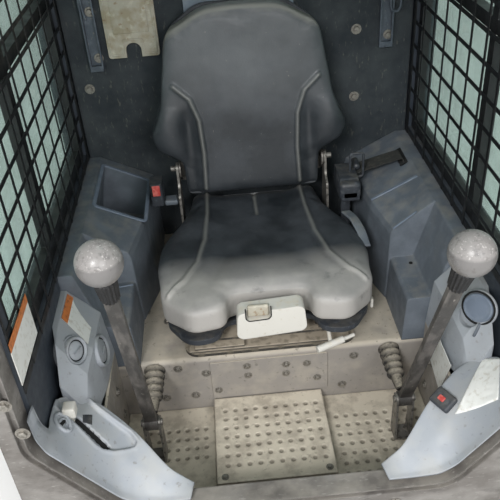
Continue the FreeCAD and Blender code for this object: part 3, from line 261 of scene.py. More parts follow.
# Even stretch, where in the noise each use of it starts, and the size in metres of gloss patches
EVEN = (1, 1, 1)
MASK_SEED = 3.1
GLOSS_SEED = 1.7
BUMP_SEED = 5.0
GLOSS_SIZE = 0.03
# Masks gated by the normal or by the place: source, axis and the levels it rises between
GATES = {"dust": ("normal", "Z", 0.1, 0.9), "cap": ("normal", "Z", 0.2, 0.32),
         # the front gate lays painted sunlight over dust on the cushion's front
         "front": ("place", "Y", 0.015, -0.085), "high": ("place", "Z", 0.60, 0.76)}


def mask(tree, spec):
    """Mask of one layer: a pattern cut between two levels, gated to where dust settles or wears, or to where
    painted sunlight falls.

    A spec is (kind, size in metres, low level, high level, share) with the stretch per axis if any.
    """
    kind, size, low, high, amount, *stretch = spec
    stretch = stretch[0] if stretch else EVEN
    grey = pattern(tree, "noise" if kind in GATES else kind, size, stretch, MASK_SEED + 40 * size)
    cut = add(tree, "ShaderNodeMapRange", {"Value": grey}, From_Min=low, From_Max=high, To_Max=amount)
    result = cut.outputs["Result"]
    if kind in GATES:
        source, axis, start, end = GATES[kind]
        source = (add(tree, "ShaderNodeTexCoord").outputs["Object"] if source == "place"
                  else add(tree, "ShaderNodeNewGeometry").outputs["Normal"])
        value = add(tree, "ShaderNodeSeparateXYZ", {"Vector": source}).outputs[axis]
        level = add(tree, "ShaderNodeMapRange", {"Value": value}, From_Min=start, From_Max=end)
        gated = add(tree, "ShaderNodeMath", {0: result, 1: level.outputs["Result"]}, operation="MULTIPLY")
        result = gated.outputs[0]
    return result


def finish_material(name, base, layers, roughness, metallic, bumps, edge):
    """Material from a base colour, colour layers, a roughness range and bump patterns.

    A layer is (hex colour, mask spec); a bump is (kind, size in metres, height in metres). Edge is
    the radius in millimetres that the shading rounds the piece's edges to.
    """
    material = bpy.data.materials.new(name)
    tree = node_tree(material)
    shader = tree.nodes["Principled BSDF"]
    shader.inputs["Base Color"].default_value = linear(base)
    shader.inputs["Metallic"].default_value = metallic
    colour = None
    for hex_colour, spec in layers:
        mix = add(tree, "ShaderNodeMix", {0: mask(tree, spec)}, data_type="RGBA", i7=linear(hex_colour))
        if colour is None:
            mix.inputs[6].default_value = linear(base)
        else:
            tree.links.new(colour, mix.inputs[6])
        colour = mix.outputs[2]
    if colour is not None:
        tree.links.new(colour, shader.inputs["Base Color"])
    grey = pattern(tree, "noise", GLOSS_SIZE, EVEN, GLOSS_SEED)
    rough = add(tree, "ShaderNodeMapRange", {"Value": grey}, From_Min=0.35, From_Max=0.65,
                To_Min=roughness[0], To_Max=roughness[1])
    tree.links.new(rough.outputs["Result"], shader.inputs["Roughness"])
    normal = add(tree, "ShaderNodeBevel", samples=4, Radius=edge * MM).outputs["Normal"] if edge else None
    for kind, size, height in bumps:
        links = {"Height": pattern(tree, kind, size, EVEN, BUMP_SEED)}
        if normal is not None:
            links["Normal"] = normal
        normal = add(tree, "ShaderNodeBump", links, Strength=1.0, Distance=height).outputs["Normal"]
    if normal is not None:
        tree.links.new(normal, shader.inputs["Normal"])
    return material


def glass_material():
    """Green float glass with a dusty film, glossier at a slant."""
    glass = bpy.data.materials.new("green float glass")
    tree = node_tree(glass)
    tree.nodes.remove(tree.nodes["Principled BSDF"])
    clear = add(tree, "ShaderNodeBsdfTransparent", Color=linear("#e2f0ec"))
    gloss = add(tree, "ShaderNodeBsdfGlossy", Color=(1, 1, 1, 1), Roughness=0.06)
    dusty = add(tree, "ShaderNodeBsdfDiffuse", Color=linear("#c9d3ce"))
    film = mask(tree, ("noise", 0.12, 0.30, 0.80, 0.30))
    pane = add(tree, "ShaderNodeMixShader", {0: film, 1: clear.outputs[0], 2: dusty.outputs[0]})
    facing = add(tree, "ShaderNodeLayerWeight", Blend=0.5).outputs["Facing"]
    slant = add(tree, "ShaderNodeMath", {0: facing}, operation="POWER", i1=5.0)
    shine = add(tree, "ShaderNodeMath", {0: slant.outputs[0]}, operation="MULTIPLY_ADD", i1=0.9, i2=0.04)
    both = add(tree, "ShaderNodeMixShader", {0: shine.outputs[0], 1: pane.outputs[0], 2: gloss.outputs[0]})
    tree.links.new(both.outputs[0], tree.nodes["Material Output"].inputs["Surface"])
    return glass


def finish_table(style):
    """Name, base, layers, roughness, metallic, bumps and edge radius of each finish, by slot."""
    cover, console, trim = (to_hex(c) for c in (style.cover, style.console, style.trim))
    # moulded grain is about 0.3 mm across, drawn four times as coarse so that it shows
    grain = ("noise", 0.0012, 0.00012)
    return {
        # grey satin paint with scuffs along it, rubbed bare and dusty where boots pass
        "cab_paint": ("worn cab paint", "#625e5a", [
            ("#86837f", ("noise", 0.060, 0.42, 0.66, 0.7, (1.6, 1, 0.8))),
            ("#9d9a96", ("noise", 0.006, 0.60, 0.70, 0.5, (3.0, 1, 1.0))),
            ("#413e3b", ("noise", 0.030, 0.58, 0.72, 0.6, (1.5, 1, 0.8))),
            ("#9a958c", ("dust", 0.05, 0.35, 0.6, 0.5))], (0.42, 0.7), 0, [("noise", 0.004, 0.0003)], 4),
        # dark blue-grey paint of the walls and the roof lining
        "wall_paint": ("dark wall paint", "#2b323b", [
            ("#434950", ("noise", 0.14, 0.38, 0.74, 0.45)),
            ("#5c5a55", ("dust", 0.16, 0.30, 0.74, 0.5))], (0.4, 0.62), 0, [("noise", 0.004, 0.0002)], 3),
        # pebbled foam mat, dark, with dried dust in its grain
        "liner_foam": ("foam liner", "#262c31", [
            ("#3a3f42", ("noise", 0.10, 0.42, 0.66, 0.8)),
            ("#65625a", ("noise", 0.010, 0.62, 0.72, 0.5, (0.6, 1, 2.0))),
            ("#6b665a", ("dust", 0.03, 0.3, 0.6, 0.6))], (0.78, 0.95), 0, [("cells", 0.003, 0.0003)], 4),
        # painted deck under trodden, dried dust
        "deck_paint": ("dusty deck paint", "#8b8680", [
            ("#bbb2a2", ("dust", 0.09, 0.22, 0.5, 0.95)),
            ("#a39c90", ("noise", 0.05, 0.46, 0.66, 0.55)),
            ("#5d5952", ("noise", 0.012, 0.62, 0.70, 0.55))], (0.55, 0.85), 0, [("noise", 0.003, 0.0003)], 2),
        # pressed steel plate with dried mud between the dimples and painted shade in them
        "tread_steel": ("muddy tread plate", "#b0a798", [
            ("#d3cab9", ("noise", 0.035, 0.36, 0.56, 0.9)),
            ("#8a8274", ("noise", 0.010, 0.60, 0.72, 0.55)),
            ("#d9d1c1", ("noise", 0.004, 0.60, 0.72, 0.5)),
            # painted shade in the dimples
            ("#565046", ("pits", 0.01, 0.15, 0.85, 0.68))], (0.5, 0.8), 0.1, [("noise", 0.002, 0.0004)], 1),
        # black paint on flat bars, chipped
        "screen_paint": ("black screen paint", "#101113", [
            ("#3a3733", ("noise", 0.008, 0.64, 0.70, 0.7))], (0.35, 0.55), 0, [], 1),
        # black enamel of the window frames, a little dust on its upper sides
        "frame_black": ("black frame paint", "#141517", [
            ("#35322e", ("dust", 0.03, 0.4, 0.6, 0.5))], (0.4, 0.6), 0, [], 2),
        # moulded ABS with fine grain, dark grey, scuffed and dusty
        "console_plastic": ("grained console ABS", console, [
            ("#747c85", ("noise", 0.06, 0.46, 0.68, 0.6)),
            ("#8e9298", ("noise", 0.008, 0.67, 0.71, 0.55, (0.2, 2.2, 0.2))),
            ("#8a877f", ("dust", 0.035, 0.42, 0.68, 0.5))], (0.42, 0.62), 0, [grain], 6),
        # the same plastic in light grey, sun faded
        "trim_plastic": ("faded trim ABS", trim, [
            ("#868b92", ("noise", 0.05, 0.44, 0.66, 0.6)),
            ("#77746f", ("noise", 0.011, 0.62, 0.70, 0.55)),
            ("#bdbcb6", ("dust", 0.05, 0.4, 0.65, 0.4))], (0.45, 0.65), 0, [grain], 4),
        # injection moulded black plastic, greyed by scuffs
        "dark_plastic": ("scuffed black plastic", "#30343a", [
            ("#565b62", ("noise", 0.012, 0.56, 0.70, 0.6)),
            ("#5d5a54", ("dust", 0.02, 0.4, 0.6, 0.5))], (0.4, 0.65), 0, [grain], 3),
        # brushed-on paint, worn along the bars
        "lever_paint": ("worn lever paint", "#3a3836", [
            ("#67635f", ("noise", 0.05, 0.45, 0.62, 0.7, (0.5, 0.5, 2.5))),
            ("#9a958f", ("noise", 0.006, 0.66, 0.72, 0.6, (1, 1, 3)))],
            (0.38, 0.6), 0.1, [("noise", 0.003, 0.0002)], 2),
        # hard ball grips, polished grey by gloves, paler over their top half, with scraped pale spots there
        "knob_plastic": ("worn ball grip", "#6f6d6c", [
            ("#8d8a88", ("cap", 0.010, 0.30, 0.44, 0.9)),
            ("#bfbbb8", ("cap", 0.004, 0.61, 0.66, 0.7)),
            ("#55514e", ("noise", 0.012, 0.60, 0.68, 0.5))], (0.24, 0.42), 0, [("noise", 0.006, 0.0004)], 0),
        # moulded rubber with grey dust in its folds
        "boot_rubber": ("dusty rubber", "#262524", [
            ("#a09889", ("dust", 0.01, 0.22, 0.5, 0.9)),
            ("#625d55", ("noise", 0.01, 0.48, 0.62, 0.75))], (0.65, 0.85), 0, [("noise", 0.002, 0.0002)], 1),
        # black moulded rubber, wiped clean by gloves
        "ribbed_rubber": ("black ribbed rubber", "#141416", [
            ("#3f3d3b", ("noise", 0.006, 0.56, 0.70, 0.5))], (0.5, 0.7), 0, [], 0),
        # vinyl cover with a fine leather grain: paler to the front with dust under painted sunlight, lighter
        # towards the top of the back, and pale where the marks lie: dust on the seams and a painted highlight
        # on the back's rim
        "seat_vinyl": ("dusty seat vinyl", cover, [
            ("#3d4146", ("noise", 0.10, 0.42, 0.62, 0.5)),
            # painted sunlight over dust, paler to the cushion's front
            ("#a5a29e", ("front", 0.05, 0.14, 0.36, 0.95)),
            # lighter towards the top of the back
            ("#696d70", ("high", 0.20, 0.05, 0.65, 0.6)),
            ("#50545a", ("dust", 0.09, 0.40, 0.62, 0.3)),
            # dust on the seams and a painted highlight on the back's rim, where the marks lie
            ("#95958f", ("pits", 0.01, 0.1, 0.9, 0.75)),
            ("#8a857c", ("noise", 0.006, 0.70, 0.76, 0.5))], (0.38, 0.58), 0,
            [("cells", 0.0022, 0.00016), ("noise", 0.02, 0.0006)], 0),
        # painted pressings below the seat, under a thick layer of dry dust
        "seat_steel": ("dusty seat frame paint", "#35332f", [
            ("#a89d8c", ("dust", 0.03, 0.15, 0.42, 0.95)),
            ("#6b6457", ("noise", 0.02, 0.5, 0.62, 0.6))], (0.5, 0.75), 0, [], 1.5),
        # zinc plated steel gone dull, with dark grease
        "worn_steel": ("dull plated steel", "#83807b", [
            ("#4a4641", ("noise", 0.01, 0.52, 0.62, 0.8)),
            ("#a59f95", ("noise", 0.02, 0.58, 0.68, 0.6))], (0.35, 0.6), 0.6, [("noise", 0.003, 0.0002)], 1),
        # off-white moulded plastic, stained by hands
        "pale_plastic": ("off-white plastic", "#c6c4bd", [
            ("#b3aa98", ("noise", 0.012, 0.60, 0.72, 0.6)),
            ("#c4bba8", ("dust", 0.02, 0.45, 0.65, 0.5))], (0.4, 0.6), 0, [grain], 3),
        # woven polyester webbing, ribs across the strap, drawn 1.6 mm apart so that they show
        "webbing": ("belt webbing", "#3a3a38", [
            ("#5f5b53", ("noise", 0.012, 0.5, 0.66, 0.6))], (0.8, 0.95), 0, [("weave", 0.0016, 0.0005)], 0.5),
        # blue-grey enamel, dusty, bare at the bolt holes
        "bar_paint": ("blue grey enamel", "#424a54", [
            ("#5d6670", ("noise", 0.02, 0.48, 0.64, 0.6)),
            ("#7d7a73", ("noise", 0.006, 0.64, 0.70, 0.6))], (0.35, 0.55), 0, [("noise", 0.003, 0.0002)], 2),
        # translucent beige plastic, stained
        "pocket_plastic": ("stained beige plastic", "#a6a193", [
            ("#8b8064", ("noise", 0.035, 0.45, 0.62, 0.7)),
            ("#c3bfae", ("noise", 0.02, 0.56, 0.70, 0.6)),
            ("#7d5c3c", ("noise", 0.016, 0.64, 0.70, 0.6))], (0.35, 0.6), 0, [], 3),
        # closed-cell foam, dull black and finely pored
        "pad_foam": ("black foam", "#222222", [
            ("#4a4741", ("dust", 0.02, 0.35, 0.6, 0.6))], (0.75, 0.9), 0, [("cells", 0.002, 0.0003)], 5),
        # blue-grey vinyl of the pad on the rear wall
        "pad_vinyl": ("blue grey pad vinyl", "#76828f", [
            ("#8a939b", ("noise", 0.04, 0.46, 0.66, 0.6))], (0.45, 0.65), 0, [("cells", 0.002, 0.0002)], 3),
        # zinc plating of the bolt heads, gone grey
        "zinc": ("grey zinc bolts", "#8d8982", [
            ("#5a554e", ("noise", 0.004, 0.5, 0.64, 0.7))], (0.35, 0.55), 0.6, [], 0.5),
        # glossy vinyl of the blank plates and their bands, soiled and a little brown
        "plate_white": ("blank vinyl label", "#dfe0dc", [
            ("#b9b4a8", ("noise", 0.012, 0.52, 0.70, 0.7))], (0.4, 0.55), 0, [], 0),
        "plate_orange": ("orange label band", "#c8773f", [
            ("#8a4f33", ("noise", 0.010, 0.5, 0.66, 0.8))], (0.4, 0.55), 0, [], 0),
        # red button plastic, faded to pink where it is pressed
        "red_plastic": ("faded red plastic", "#b3403c", [
            ("#d07a70", ("noise", 0.01, 0.45, 0.62, 0.7))], (0.35, 0.5), 0, [], 1),
        # matt black inside of slots and gaps, painted shade
        "gap_black": ("matt black gap", "#0b0c0d", [], (0.8, 0.9), 0, [], 0),
        # blue-grey flap of the closed vent
        "flap_plastic": ("blue grey vent flap", "#6b7685", [
            ("#7f8894", ("noise", 0.03, 0.46, 0.66, 0.6))], (0.4, 0.55), 0, [grain], 2),
    }


# Materials by slot once made, and nodes whose finish isn't that of their slot
FINISH = {}
# the seat pan takes the dark plastic as painted shade under the cushion's front
OWN_FINISH = {"seat_pan": "dark_plastic", "rear_pad": "pad_vinyl"}


def in_scene(name, data):
    """Object that holds the data, linked into the scene."""
    piece = bpy.data.objects.new(name, data)
    bpy.context.scene.collection.objects.link(piece)
    return piece


def surface_object(name, surface, finish, body="cab"):
    """Object from a surface, its doubles merged and its normals outward.

    A surface is points (n, 3) in metres with faces that count into them.
    """
    points, faces = surface
    mesh = bpy.data.meshes.new(name)
    mesh.from_pydata(np.asarray(points).tolist(), [], [list(f) for f in faces])
    tidy = bmesh.new()
    tidy.from_mesh(mesh)
    bmesh.ops.remove_doubles(tidy, verts=tidy.verts, dist=1e-6)
    bmesh.ops.recalc_face_normals(tidy, faces=tidy.faces)
    tidy.to_mesh(mesh)
    tidy.free()
    mesh.shade_smooth()
    mesh.materials.append(FINISH[finish])
    piece = in_scene(name, mesh)
    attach(piece, body)
    return piece


def sharpen(piece, angle=35):
    """Smooth shading with the piece's real edges kept sharp."""
    piece.data.set_sharp_from_angle(angle=math.radians(angle))
    return piece


def metres(places):
    """Places in millimetres as an array in metres."""
    return np.array(places, float) * MM


def around(steps):
    """Angles of one full turn in equal steps."""
    return np.linspace(0, 2 * np.pi, steps, endpoint=False)


def hill(distance, width):
    """Rounded hill: exp(-(distance / width)^2), which is 1 at distance 0."""
    return np.exp(-(distance / width) ** 2)


def grid_faces(rows, columns, ring=False):
    """Quads of a rows by columns grid; ring closes it along its columns."""
    i, j = np.meshgrid(np.arange(rows - 1), np.arange(columns if ring else columns - 1), indexing="ij")
    here, beside = i * columns + j, i * columns + (j + 1) % columns
    return np.stack([here, beside, beside + columns, here + columns], -1).reshape(-1, 4)


def capped(points):
    """Surface of a closed tube from points (rings, points of a ring, 3): each end gets one face."""
    rows, columns = points.shape[:2]
    caps = [list(range(columns)), list(range((rows - 1) * columns, rows * columns))]
    return points.reshape(-1, 3), [list(f) for f in grid_faces(rows, columns, ring=True)] + caps


def blended(corners, count):
    """Grid over four corners: each weighted by its two shares, which run from 0 to 1."""
    c = np.array(corners, float)
    u, v = np.meshgrid(np.linspace(0, 1, count), np.linspace(0, 1, count), indexing="ij")
    u, v = u[..., None], v[..., None]
    return c[0] * (1 - u) * (1 - v) + c[1] * u * (1 - v) + c[2] * u * v + c[3] * (1 - u) * v


def joined(parts):
    """One surface from several, their points in order and their faces counted on."""
    points, faces, count = [], [], 0
    for p, f in parts:
        points.append(np.asarray(p))
        faces += [[count + i for i in face] for face in f]
        count += len(p)
    return np.concatenate(points), faces


def revolve(profile, steps):
    """Profile of (radius, height) turned about +Z: x, y = radius * cos, sin of the turn."""
    profile, turn = np.asarray(profile, float), around(steps)
    points = np.stack([profile[:, :1] * np.cos(turn), profile[:, :1] * np.sin(turn),
                       np.repeat(profile[:, 1:], steps, 1)], -1)
    return points.reshape(-1, 3), grid_faces(len(profile), steps, ring=True)


def turned(surface, centre, axis):
    """Surface turned from +Z to an axis and moved to a centre."""
    points, faces = surface
    z = np.asarray(axis, float) / np.linalg.norm(axis)
    x = np.cross((0.0, 0.0, 1.0) if abs(z[2]) < 0.9 else (0.0, 1.0, 0.0), z)
    x /= np.linalg.norm(x)
    return points @ np.stack([x, np.cross(z, x), z]) + np.asarray(centre), faces


def carried(path, profile, up=(0, 0, 1), closed=False):
    """Profile of (side, up) points carried along a path: each ring stands square to the path."""
    path, profile = np.asarray(path, float), np.asarray(profile, float)
    ahead = np.roll(path, -1, 0) - np.roll(path, 1, 0) if closed else np.gradient(path, axis=0)
    ahead /= np.linalg.norm(ahead, axis=1)[:, None]
    side = np.cross(ahead, np.asarray(up, float))
    side /= np.linalg.norm(side, axis=1)[:, None]
    top = np.cross(side, ahead)
    points = path[:, None] + profile[None, :, :1] * side[:, None] + profile[None, :, 1:] * top[:, None]
    if not closed:
        return capped(points)
    rows, columns = points.shape[:2]
    return points.reshape(-1, 3), grid_faces(rows + 1, columns, ring=True) % (rows * columns)


def circle(radius, steps=12):
    """Closed round profile: radius * cos, sin of the turn."""
    turn = around(steps)
    return np.stack([np.cos(turn), np.sin(turn)], 1) * radius


def rounded(width, height, radius, steps=5):
    """Closed profile of a rectangle about the origin: corner centre + radius * cos, sin."""
    turn = np.linspace(0, np.pi / 2, steps)
    quarter = np.stack([np.cos(turn), np.sin(turn)], 1) * radius
    x, y = width / 2 - radius, height / 2 - radius
    spin = [(quarter, (x, y)), (quarter[:, ::-1] * (-1, 1), (-x, y)), (-quarter, (-x, -y)),
            (quarter[:, ::-1] * (1, -1), (x, -y))]
    return np.concatenate([points + middle for points, middle in spin])


def rounded_block(low, high, radius, steps=4):
    """Block with round edges: corner + radius * direction for every direction of a ball."""
    low, high = np.asarray(low, float), np.asarray(high, float)
    half = (high - low) / 2 - radius
    up = np.linspace(0, np.pi / 2, steps + 1)
    lat = np.concatenate([-up[::-1], up])[:, None]
    lon = np.concatenate([k * np.pi / 2 + up for k in range(4)])[None, :]
    way = np.stack([np.cos(lat) * np.cos(lon), np.cos(lat) * np.sin(lon), np.sin(lat) + 0 * lon], -1)
    sx = np.repeat([1, -1, -1, 1], steps + 1)[None, :] + 0 * lat
    sy = np.repeat([1, 1, -1, -1], steps + 1)[None, :] + 0 * lat
    sz = np.repeat([-1, 1], steps + 1)[:, None] + 0 * lon
    return capped((low + high) / 2 + half * np.stack([sx, sy, sz], -1) + radius * way)


def eased_line(points, count, spread=0.5):
    """Straight run through the stations, its corners eased by averaging over part of a station."""
    p = np.asarray(points, float)
    stations = len(p)
    at = np.linspace(0, stations - 1, count)

    def straight(t):
        """Place on the straight run at station t."""
        t = np.clip(t, 0, stations - 1)
        i = np.minimum(t.astype(int), stations - 2)
        u = (t - i).reshape(-1, *[1] * (p.ndim - 1))
        return p[i] * (1 - u) + p[i + 1] * u

    total, weight = 0.0, 0.0
    for offset in np.linspace(-spread, spread, 13):
        share = math.cos(offset / spread * math.pi / 2) ** 2 + 1e-3
        reach = np.minimum(1, np.minimum(at, stations - 1 - at) / spread)
        total = total + share * straight(at + offset * reach)
        weight += share
    return total / weight


def step_up(low, high, value):
    """0 below low, 1 above high and a smooth rise between."""
    t = np.clip((value - low) / (high - low), 0, 1)
    return t * t * (3 - 2 * t)


def distance_to_line(points, line):
    """Distance of (n, 2) points to an open line of a few corners."""
    best = np.full(len(points), np.inf)
    for a, b in zip(line[:-1], line[1:]):
        a, b = np.asarray(a, float), np.asarray(b, float)
        t = np.clip(((points - a) @ (b - a)) / ((b - a) @ (b - a)), 0, 1)
        best = np.minimum(best, np.linalg.norm(points - a - t[:, None] * (b - a), axis=1))
    return best


def distance_to_polygon(points, polygon):
    """Signed distance of (n, 2) points to a closed outline: negative inside."""
    closed = list(polygon) + [polygon[0]]
    inside = np.zeros(len(points), bool)
    for (ax, ay), (bx, by) in zip(closed[:-1], closed[1:]):
        if ay != by:
            crosses = (ay > points[:, 1]) != (by > points[:, 1])
            inside ^= crosses & (points[:, 0] < (bx - ax) * (points[:, 1] - ay) / (by - ay) + ax)
    return np.where(inside, -1, 1) * distance_to_line(points, closed)


def closed_shell(top, bottom):
    """Surface round the closed body between two grids of the same shape."""
    rows, columns = top.shape[:2]
    count = rows * columns
    faces = grid_faces(rows, columns)
    edge = np.concatenate([np.arange(columns), np.arange(1, rows) * columns + columns - 1,
                           (rows - 1) * columns + np.arange(columns - 2, -1, -1),
                           np.arange(rows - 2, 0, -1) * columns])
    following = np.roll(edge, -1)
    sides = np.stack([edge, following, following + count, edge + count], 1)
    points = np.concatenate([top.reshape(-1, 3), bottom.reshape(-1, 3)])
    return points, np.concatenate([faces, faces[:, ::-1] + count, sides])


def mesh_points(piece):
    """The piece's points as an (n, 3) array."""
    flat = np.empty(len(piece.data.vertices) * 3)
    piece.data.vertices.foreach_get("co", flat)
    return flat.reshape(-1, 3)


def mesh_normals(piece):
    """The normals at the piece's points as an (n, 3) array."""
    flat = np.empty(len(piece.data.vertices) * 3)
    piece.data.vertex_normals.foreach_get("vector", flat)
    return flat.reshape(-1, 3)


def set_points(piece, points):
    """Puts the (n, 3) array back into the piece."""
    piece.data.vertices.foreach_set("co", np.asarray(points).ravel())
    piece.data.update()


def baked(piece):
    """Replaces the piece's mesh by what its modifiers make of it, and removes them."""
    graph = bpy.context.evaluated_depsgraph_get()
    mesh = bpy.data.meshes.new_from_object(piece.evaluated_get(graph))
    piece.modifiers.clear()
    piece.data = mesh
    return piece


def swollen_copy(node, name, body, shrink, cap):
    """Copy of a CAD solid blown up softly: remeshed, drawn in by shrink, then inflated by cloth
    with the movement of each point capped."""
    source = frame["nodes"][node]
    faces = [list(p.vertices) for p in source.data.polygons]
    piece = surface_object(name, (mesh_points(source), faces), "seat_vinyl", body)
    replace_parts(piece, node)
    remesh = piece.modifiers.new("Remesh", "REMESH")
    remesh.mode = "VOXEL"
    remesh.voxel_size = VOXEL
    baked(piece)
    start = mesh_points(piece) - mesh_normals(piece) * shrink
    set_points(piece, start)
    cloth = piece.modifiers.new("Cloth", "CLOTH")
    cloth.settings.use_pressure = True
    cloth.settings.uniform_pressure_force = CLOTH_PRESSURE
    cloth.settings.effector_weights.gravity = 0.0
    cloth.point_cache.frame_start = 1
    cloth.point_cache.frame_end = CLOTH_FRAMES
    for step in range(1, CLOTH_FRAMES + 1):
        bpy.context.scene.frame_set(step)
    baked(piece)
    bpy.context.scene.frame_set(1)
    moved = mesh_points(piece) - start
    length = np.linalg.norm(moved, axis=1)[:, None]
    set_points(piece, start + moved * np.minimum(1, cap / np.maximum(length, 1e-9)))
    smooth = piece.modifiers.new("Smooth", "SUBSURF")
    smooth.levels = smooth.render_levels = 1
    baked(piece)
    piece.data.materials.clear()
    piece.data.materials.append(FINISH["seat_vinyl"])
    piece.data.shade_smooth()
    return piece


def make_seat_cushion(style):
    """Seat cushion: z rises along two seams that fan out to the front lobes, and sinks between."""
    piece = swollen_copy("seat_cushion", "seat_cushion_cover", "seat", shrink=0.003, cap=0.008)
    low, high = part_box("seat_cushion")
    points, normals = mesh_points(piece), mesh_normals(piece)
    x, y = np.abs(points[:, 0]), points[:, 1]
    share = np.clip((points[:, 2] - low[2]) / (high[2] - low[2]), 0, 1)
    top = step_up(0.2, 0.7, normals[:, 2])
    # seams stand up from a shallow trough, and the field between them and the pleat lie lower
    away = distance_to_line(np.stack([x, y], 1), metres(CUSHION_SEAM))
    ridge = style.piping_height * (hill(away, SEAM_WIDTH) - 0.35 * hill(away, 0.018))
    inner = step_up(0.0, 0.05, 0.125 + 0.4 * np.clip(0.02 - y, 0, 0.12) - x) * step_up(-0.16, -0.02, y)
    pleat = distance_to_line(points[:, :2], metres(CUSHION_PLEAT))
    rise = ridge - 0.009 * inner - 0.004 * hill(pleat, 0.006) * step_up(0.18, 0.20, y)
    points[:, 2] += rise * top
    # the flanks bulge at mid length, and the underside of the front edge rises
    swell = hill(y - 0.095, 0.095) * step_up(0.10, 0.22, x)
    points[:, 0] += np.sign(points[:, 0]) * style.side_swell * swell
    nose = step_up(-0.06, -0.18, y)
    points[:, 2] += nose * (0.022 * (1 - share) - 0.003 * share)
    points[:, 2] = np.clip(points[:, 2], low[2] + 0.001, high[2] + 0.008)
    points[:, 1] = np.minimum(points[:, 1], high[1])
    set_points(piece, points)
    # dust sits on the seams and along the rear edge
    rear = 0.35 * step_up(0.26, 0.33, y)
    seams = 0.5 * hill(away, 0.0052) + 0.5 * hill(pleat, 0.005)
    mark(piece, np.clip(seams + rear, 0, 1) * top)


def make_back_cushion(style):
    """Back cushion: flat field between two raised seams, with bolsters standing forward outside."""
    piece = swollen_copy("back_cushion", "back_cushion_cover", "seat_back", shrink=0.002, cap=0.006)
    points, normals = mesh_points(piece), mesh_normals(piece)
    lean = np.array([[1, 0, 0], [0, math.cos(BACK_LEAN), -math.sin(BACK_LEAN)],
                     [0, math.sin(BACK_LEAN), math.cos(BACK_LEAN)]])
    origin = np.array([0, *BACK_FOOT])
    upright = (points - origin) @ lean.T + origin
    front = step_up(0.2, 0.7, -(normals @ lean.T)[:, 1])
    x, z = np.abs(upright[:, 0]), upright[:, 2]
    away = distance_to_line(np.stack([x, z], 1), metres(BACK_SEAM))
    ridge = style.piping_height * hill(away, SEAM_WIDTH)
    outside = step_up(0.0, 0.03, x - 0.135) * step_up(0.70, 0.64, z)
    groove = hill(x - 0.150, 0.018) * step_up(0.66, 0.60, z)
    bolster = hill(x - 0.205, 0.035) * hill(z - 0.60, 0.075)
    hollow = hill(x, 0.10) * hill(z - 0.52, 0.10)
    rise = ridge + 0.014 * bolster * outside - 0.011 * groove - 0.006 * hollow
    upright[:, 1] -= rise * front
    upright[:, 1] = np.minimum(upright[:, 1], BACK_FOOT[0] + BACK_PLAY)
    # the upper edge dips on either side of the middle
    upright[:, 2] -= 0.011 * hill(x - 0.124, 0.048) * step_up(0.70, 0.80, z)
    set_points(piece, (upright - origin) @ lean + origin)
    # the rolled upper edge gets a painted highlight, and dust sits on the seams
    worn = step_up(0.15, 0.75, (normals @ lean.T)[:, 2]) * step_up(0.64, 0.72, z)
    mark(piece, np.maximum(worn, 0.45 * hill(away, SEAM_WIDTH) * front))


def dimpled_plate(x0, x1, y0, y1, top, foot, first_x, first_y, pitch_x, pitch_y, columns, rows, depth):
    """Plate whose top sinks in a field of dimples: z = top - depth * sqrt(1 - (r / R)^2) within R."""
    xs = np.linspace(x0, x1, int((x1 - x0) / DIMPLE_GRID))
    ys = np.linspace(y0, y1, int((y1 - y0) / DIMPLE_GRID))
    gx, gy = np.meshgrid(xs, ys, indexing="ij")
    i = np.clip(np.round((gx - first_x) / pitch_x), 0, columns - 1)
    j = np.clip(np.round((first_y - gy) / pitch_y), 0, rows - 1)
    radius = np.hypot(gx - first_x - i * pitch_x, gy - first_y + j * pitch_y)
    dimple = np.clip(1 - (radius / DIMPLE_RADIUS) ** 2, 0, 1)
    margin = np.minimum.reduce([gx - x0, x1 - gx, gy - y0, y1 - gy])
    z = top - depth * np.sqrt(dimple) - MARGIN_DROP * step_up(MARGIN_WIDTH, 0, margin)
    return closed_shell(np.stack([gx, gy, z], -1) * MM, np.stack([gx, gy, np.full_like(gx, foot)], -1) * MM)


def mark(piece, share):
    """Writes a share from 0 to 1 on each point, which the materials read as dust, as painted shade in the
    tread dimples and as a painted highlight on the seat back's rim.
    """
    piece.data.attributes.new("pit", "FLOAT", "POINT").data.foreach_set("value", share.astype(np.float32))


def mark_pit_shade(piece, top):
    """Marks how deep each point lies below the plate's top, for the painted shade in the pits."""
    mark(piece, np.clip((top * MM - mesh_points(piece)[:, 2]) / FULL_PIT_SHADE, 0, 1))


def make_treads(style):
    """Three dimpled tread plates of the footwell, the middle one raised."""
    plates = {name: dimpled_plate(*row, style.dimple_depth / MM) for name, row in TREADS.items()}
    piece = surface_object("centre_tread_plate", plates["centre"], "tread_steel")
    mark_pit_shade(piece, TREAD_TOP)
    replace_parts(sharpen(piece), "centre_tread")
    piece = surface_object("side_tread_plates", joined([plates["left"], plates["right"]]), "tread_steel")
    mark_pit_shade(piece, SIDE_TREAD_TOP)
    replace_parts(sharpen(piece), "side_treads")


def trim_surface(sign):
    """Top of a corner trim: a grid eased along and across its stations, its free edge turned down."""
    rows = []
    for (lip_x, lip_z), fold, middle, edge in TRIM_STATIONS:
        rows.append([(lip_x, TRIM_LIP_Y, lip_z), fold, middle, edge, (edge[0] + 1, edge[1] + 2, edge[2] - 9)])
    grid = eased_line(np.array(rows, float), 230)
    across = eased_line(np.swapaxes(grid, 0, 1), 90, 0.4)
    across[..., 0] *= sign
    return across


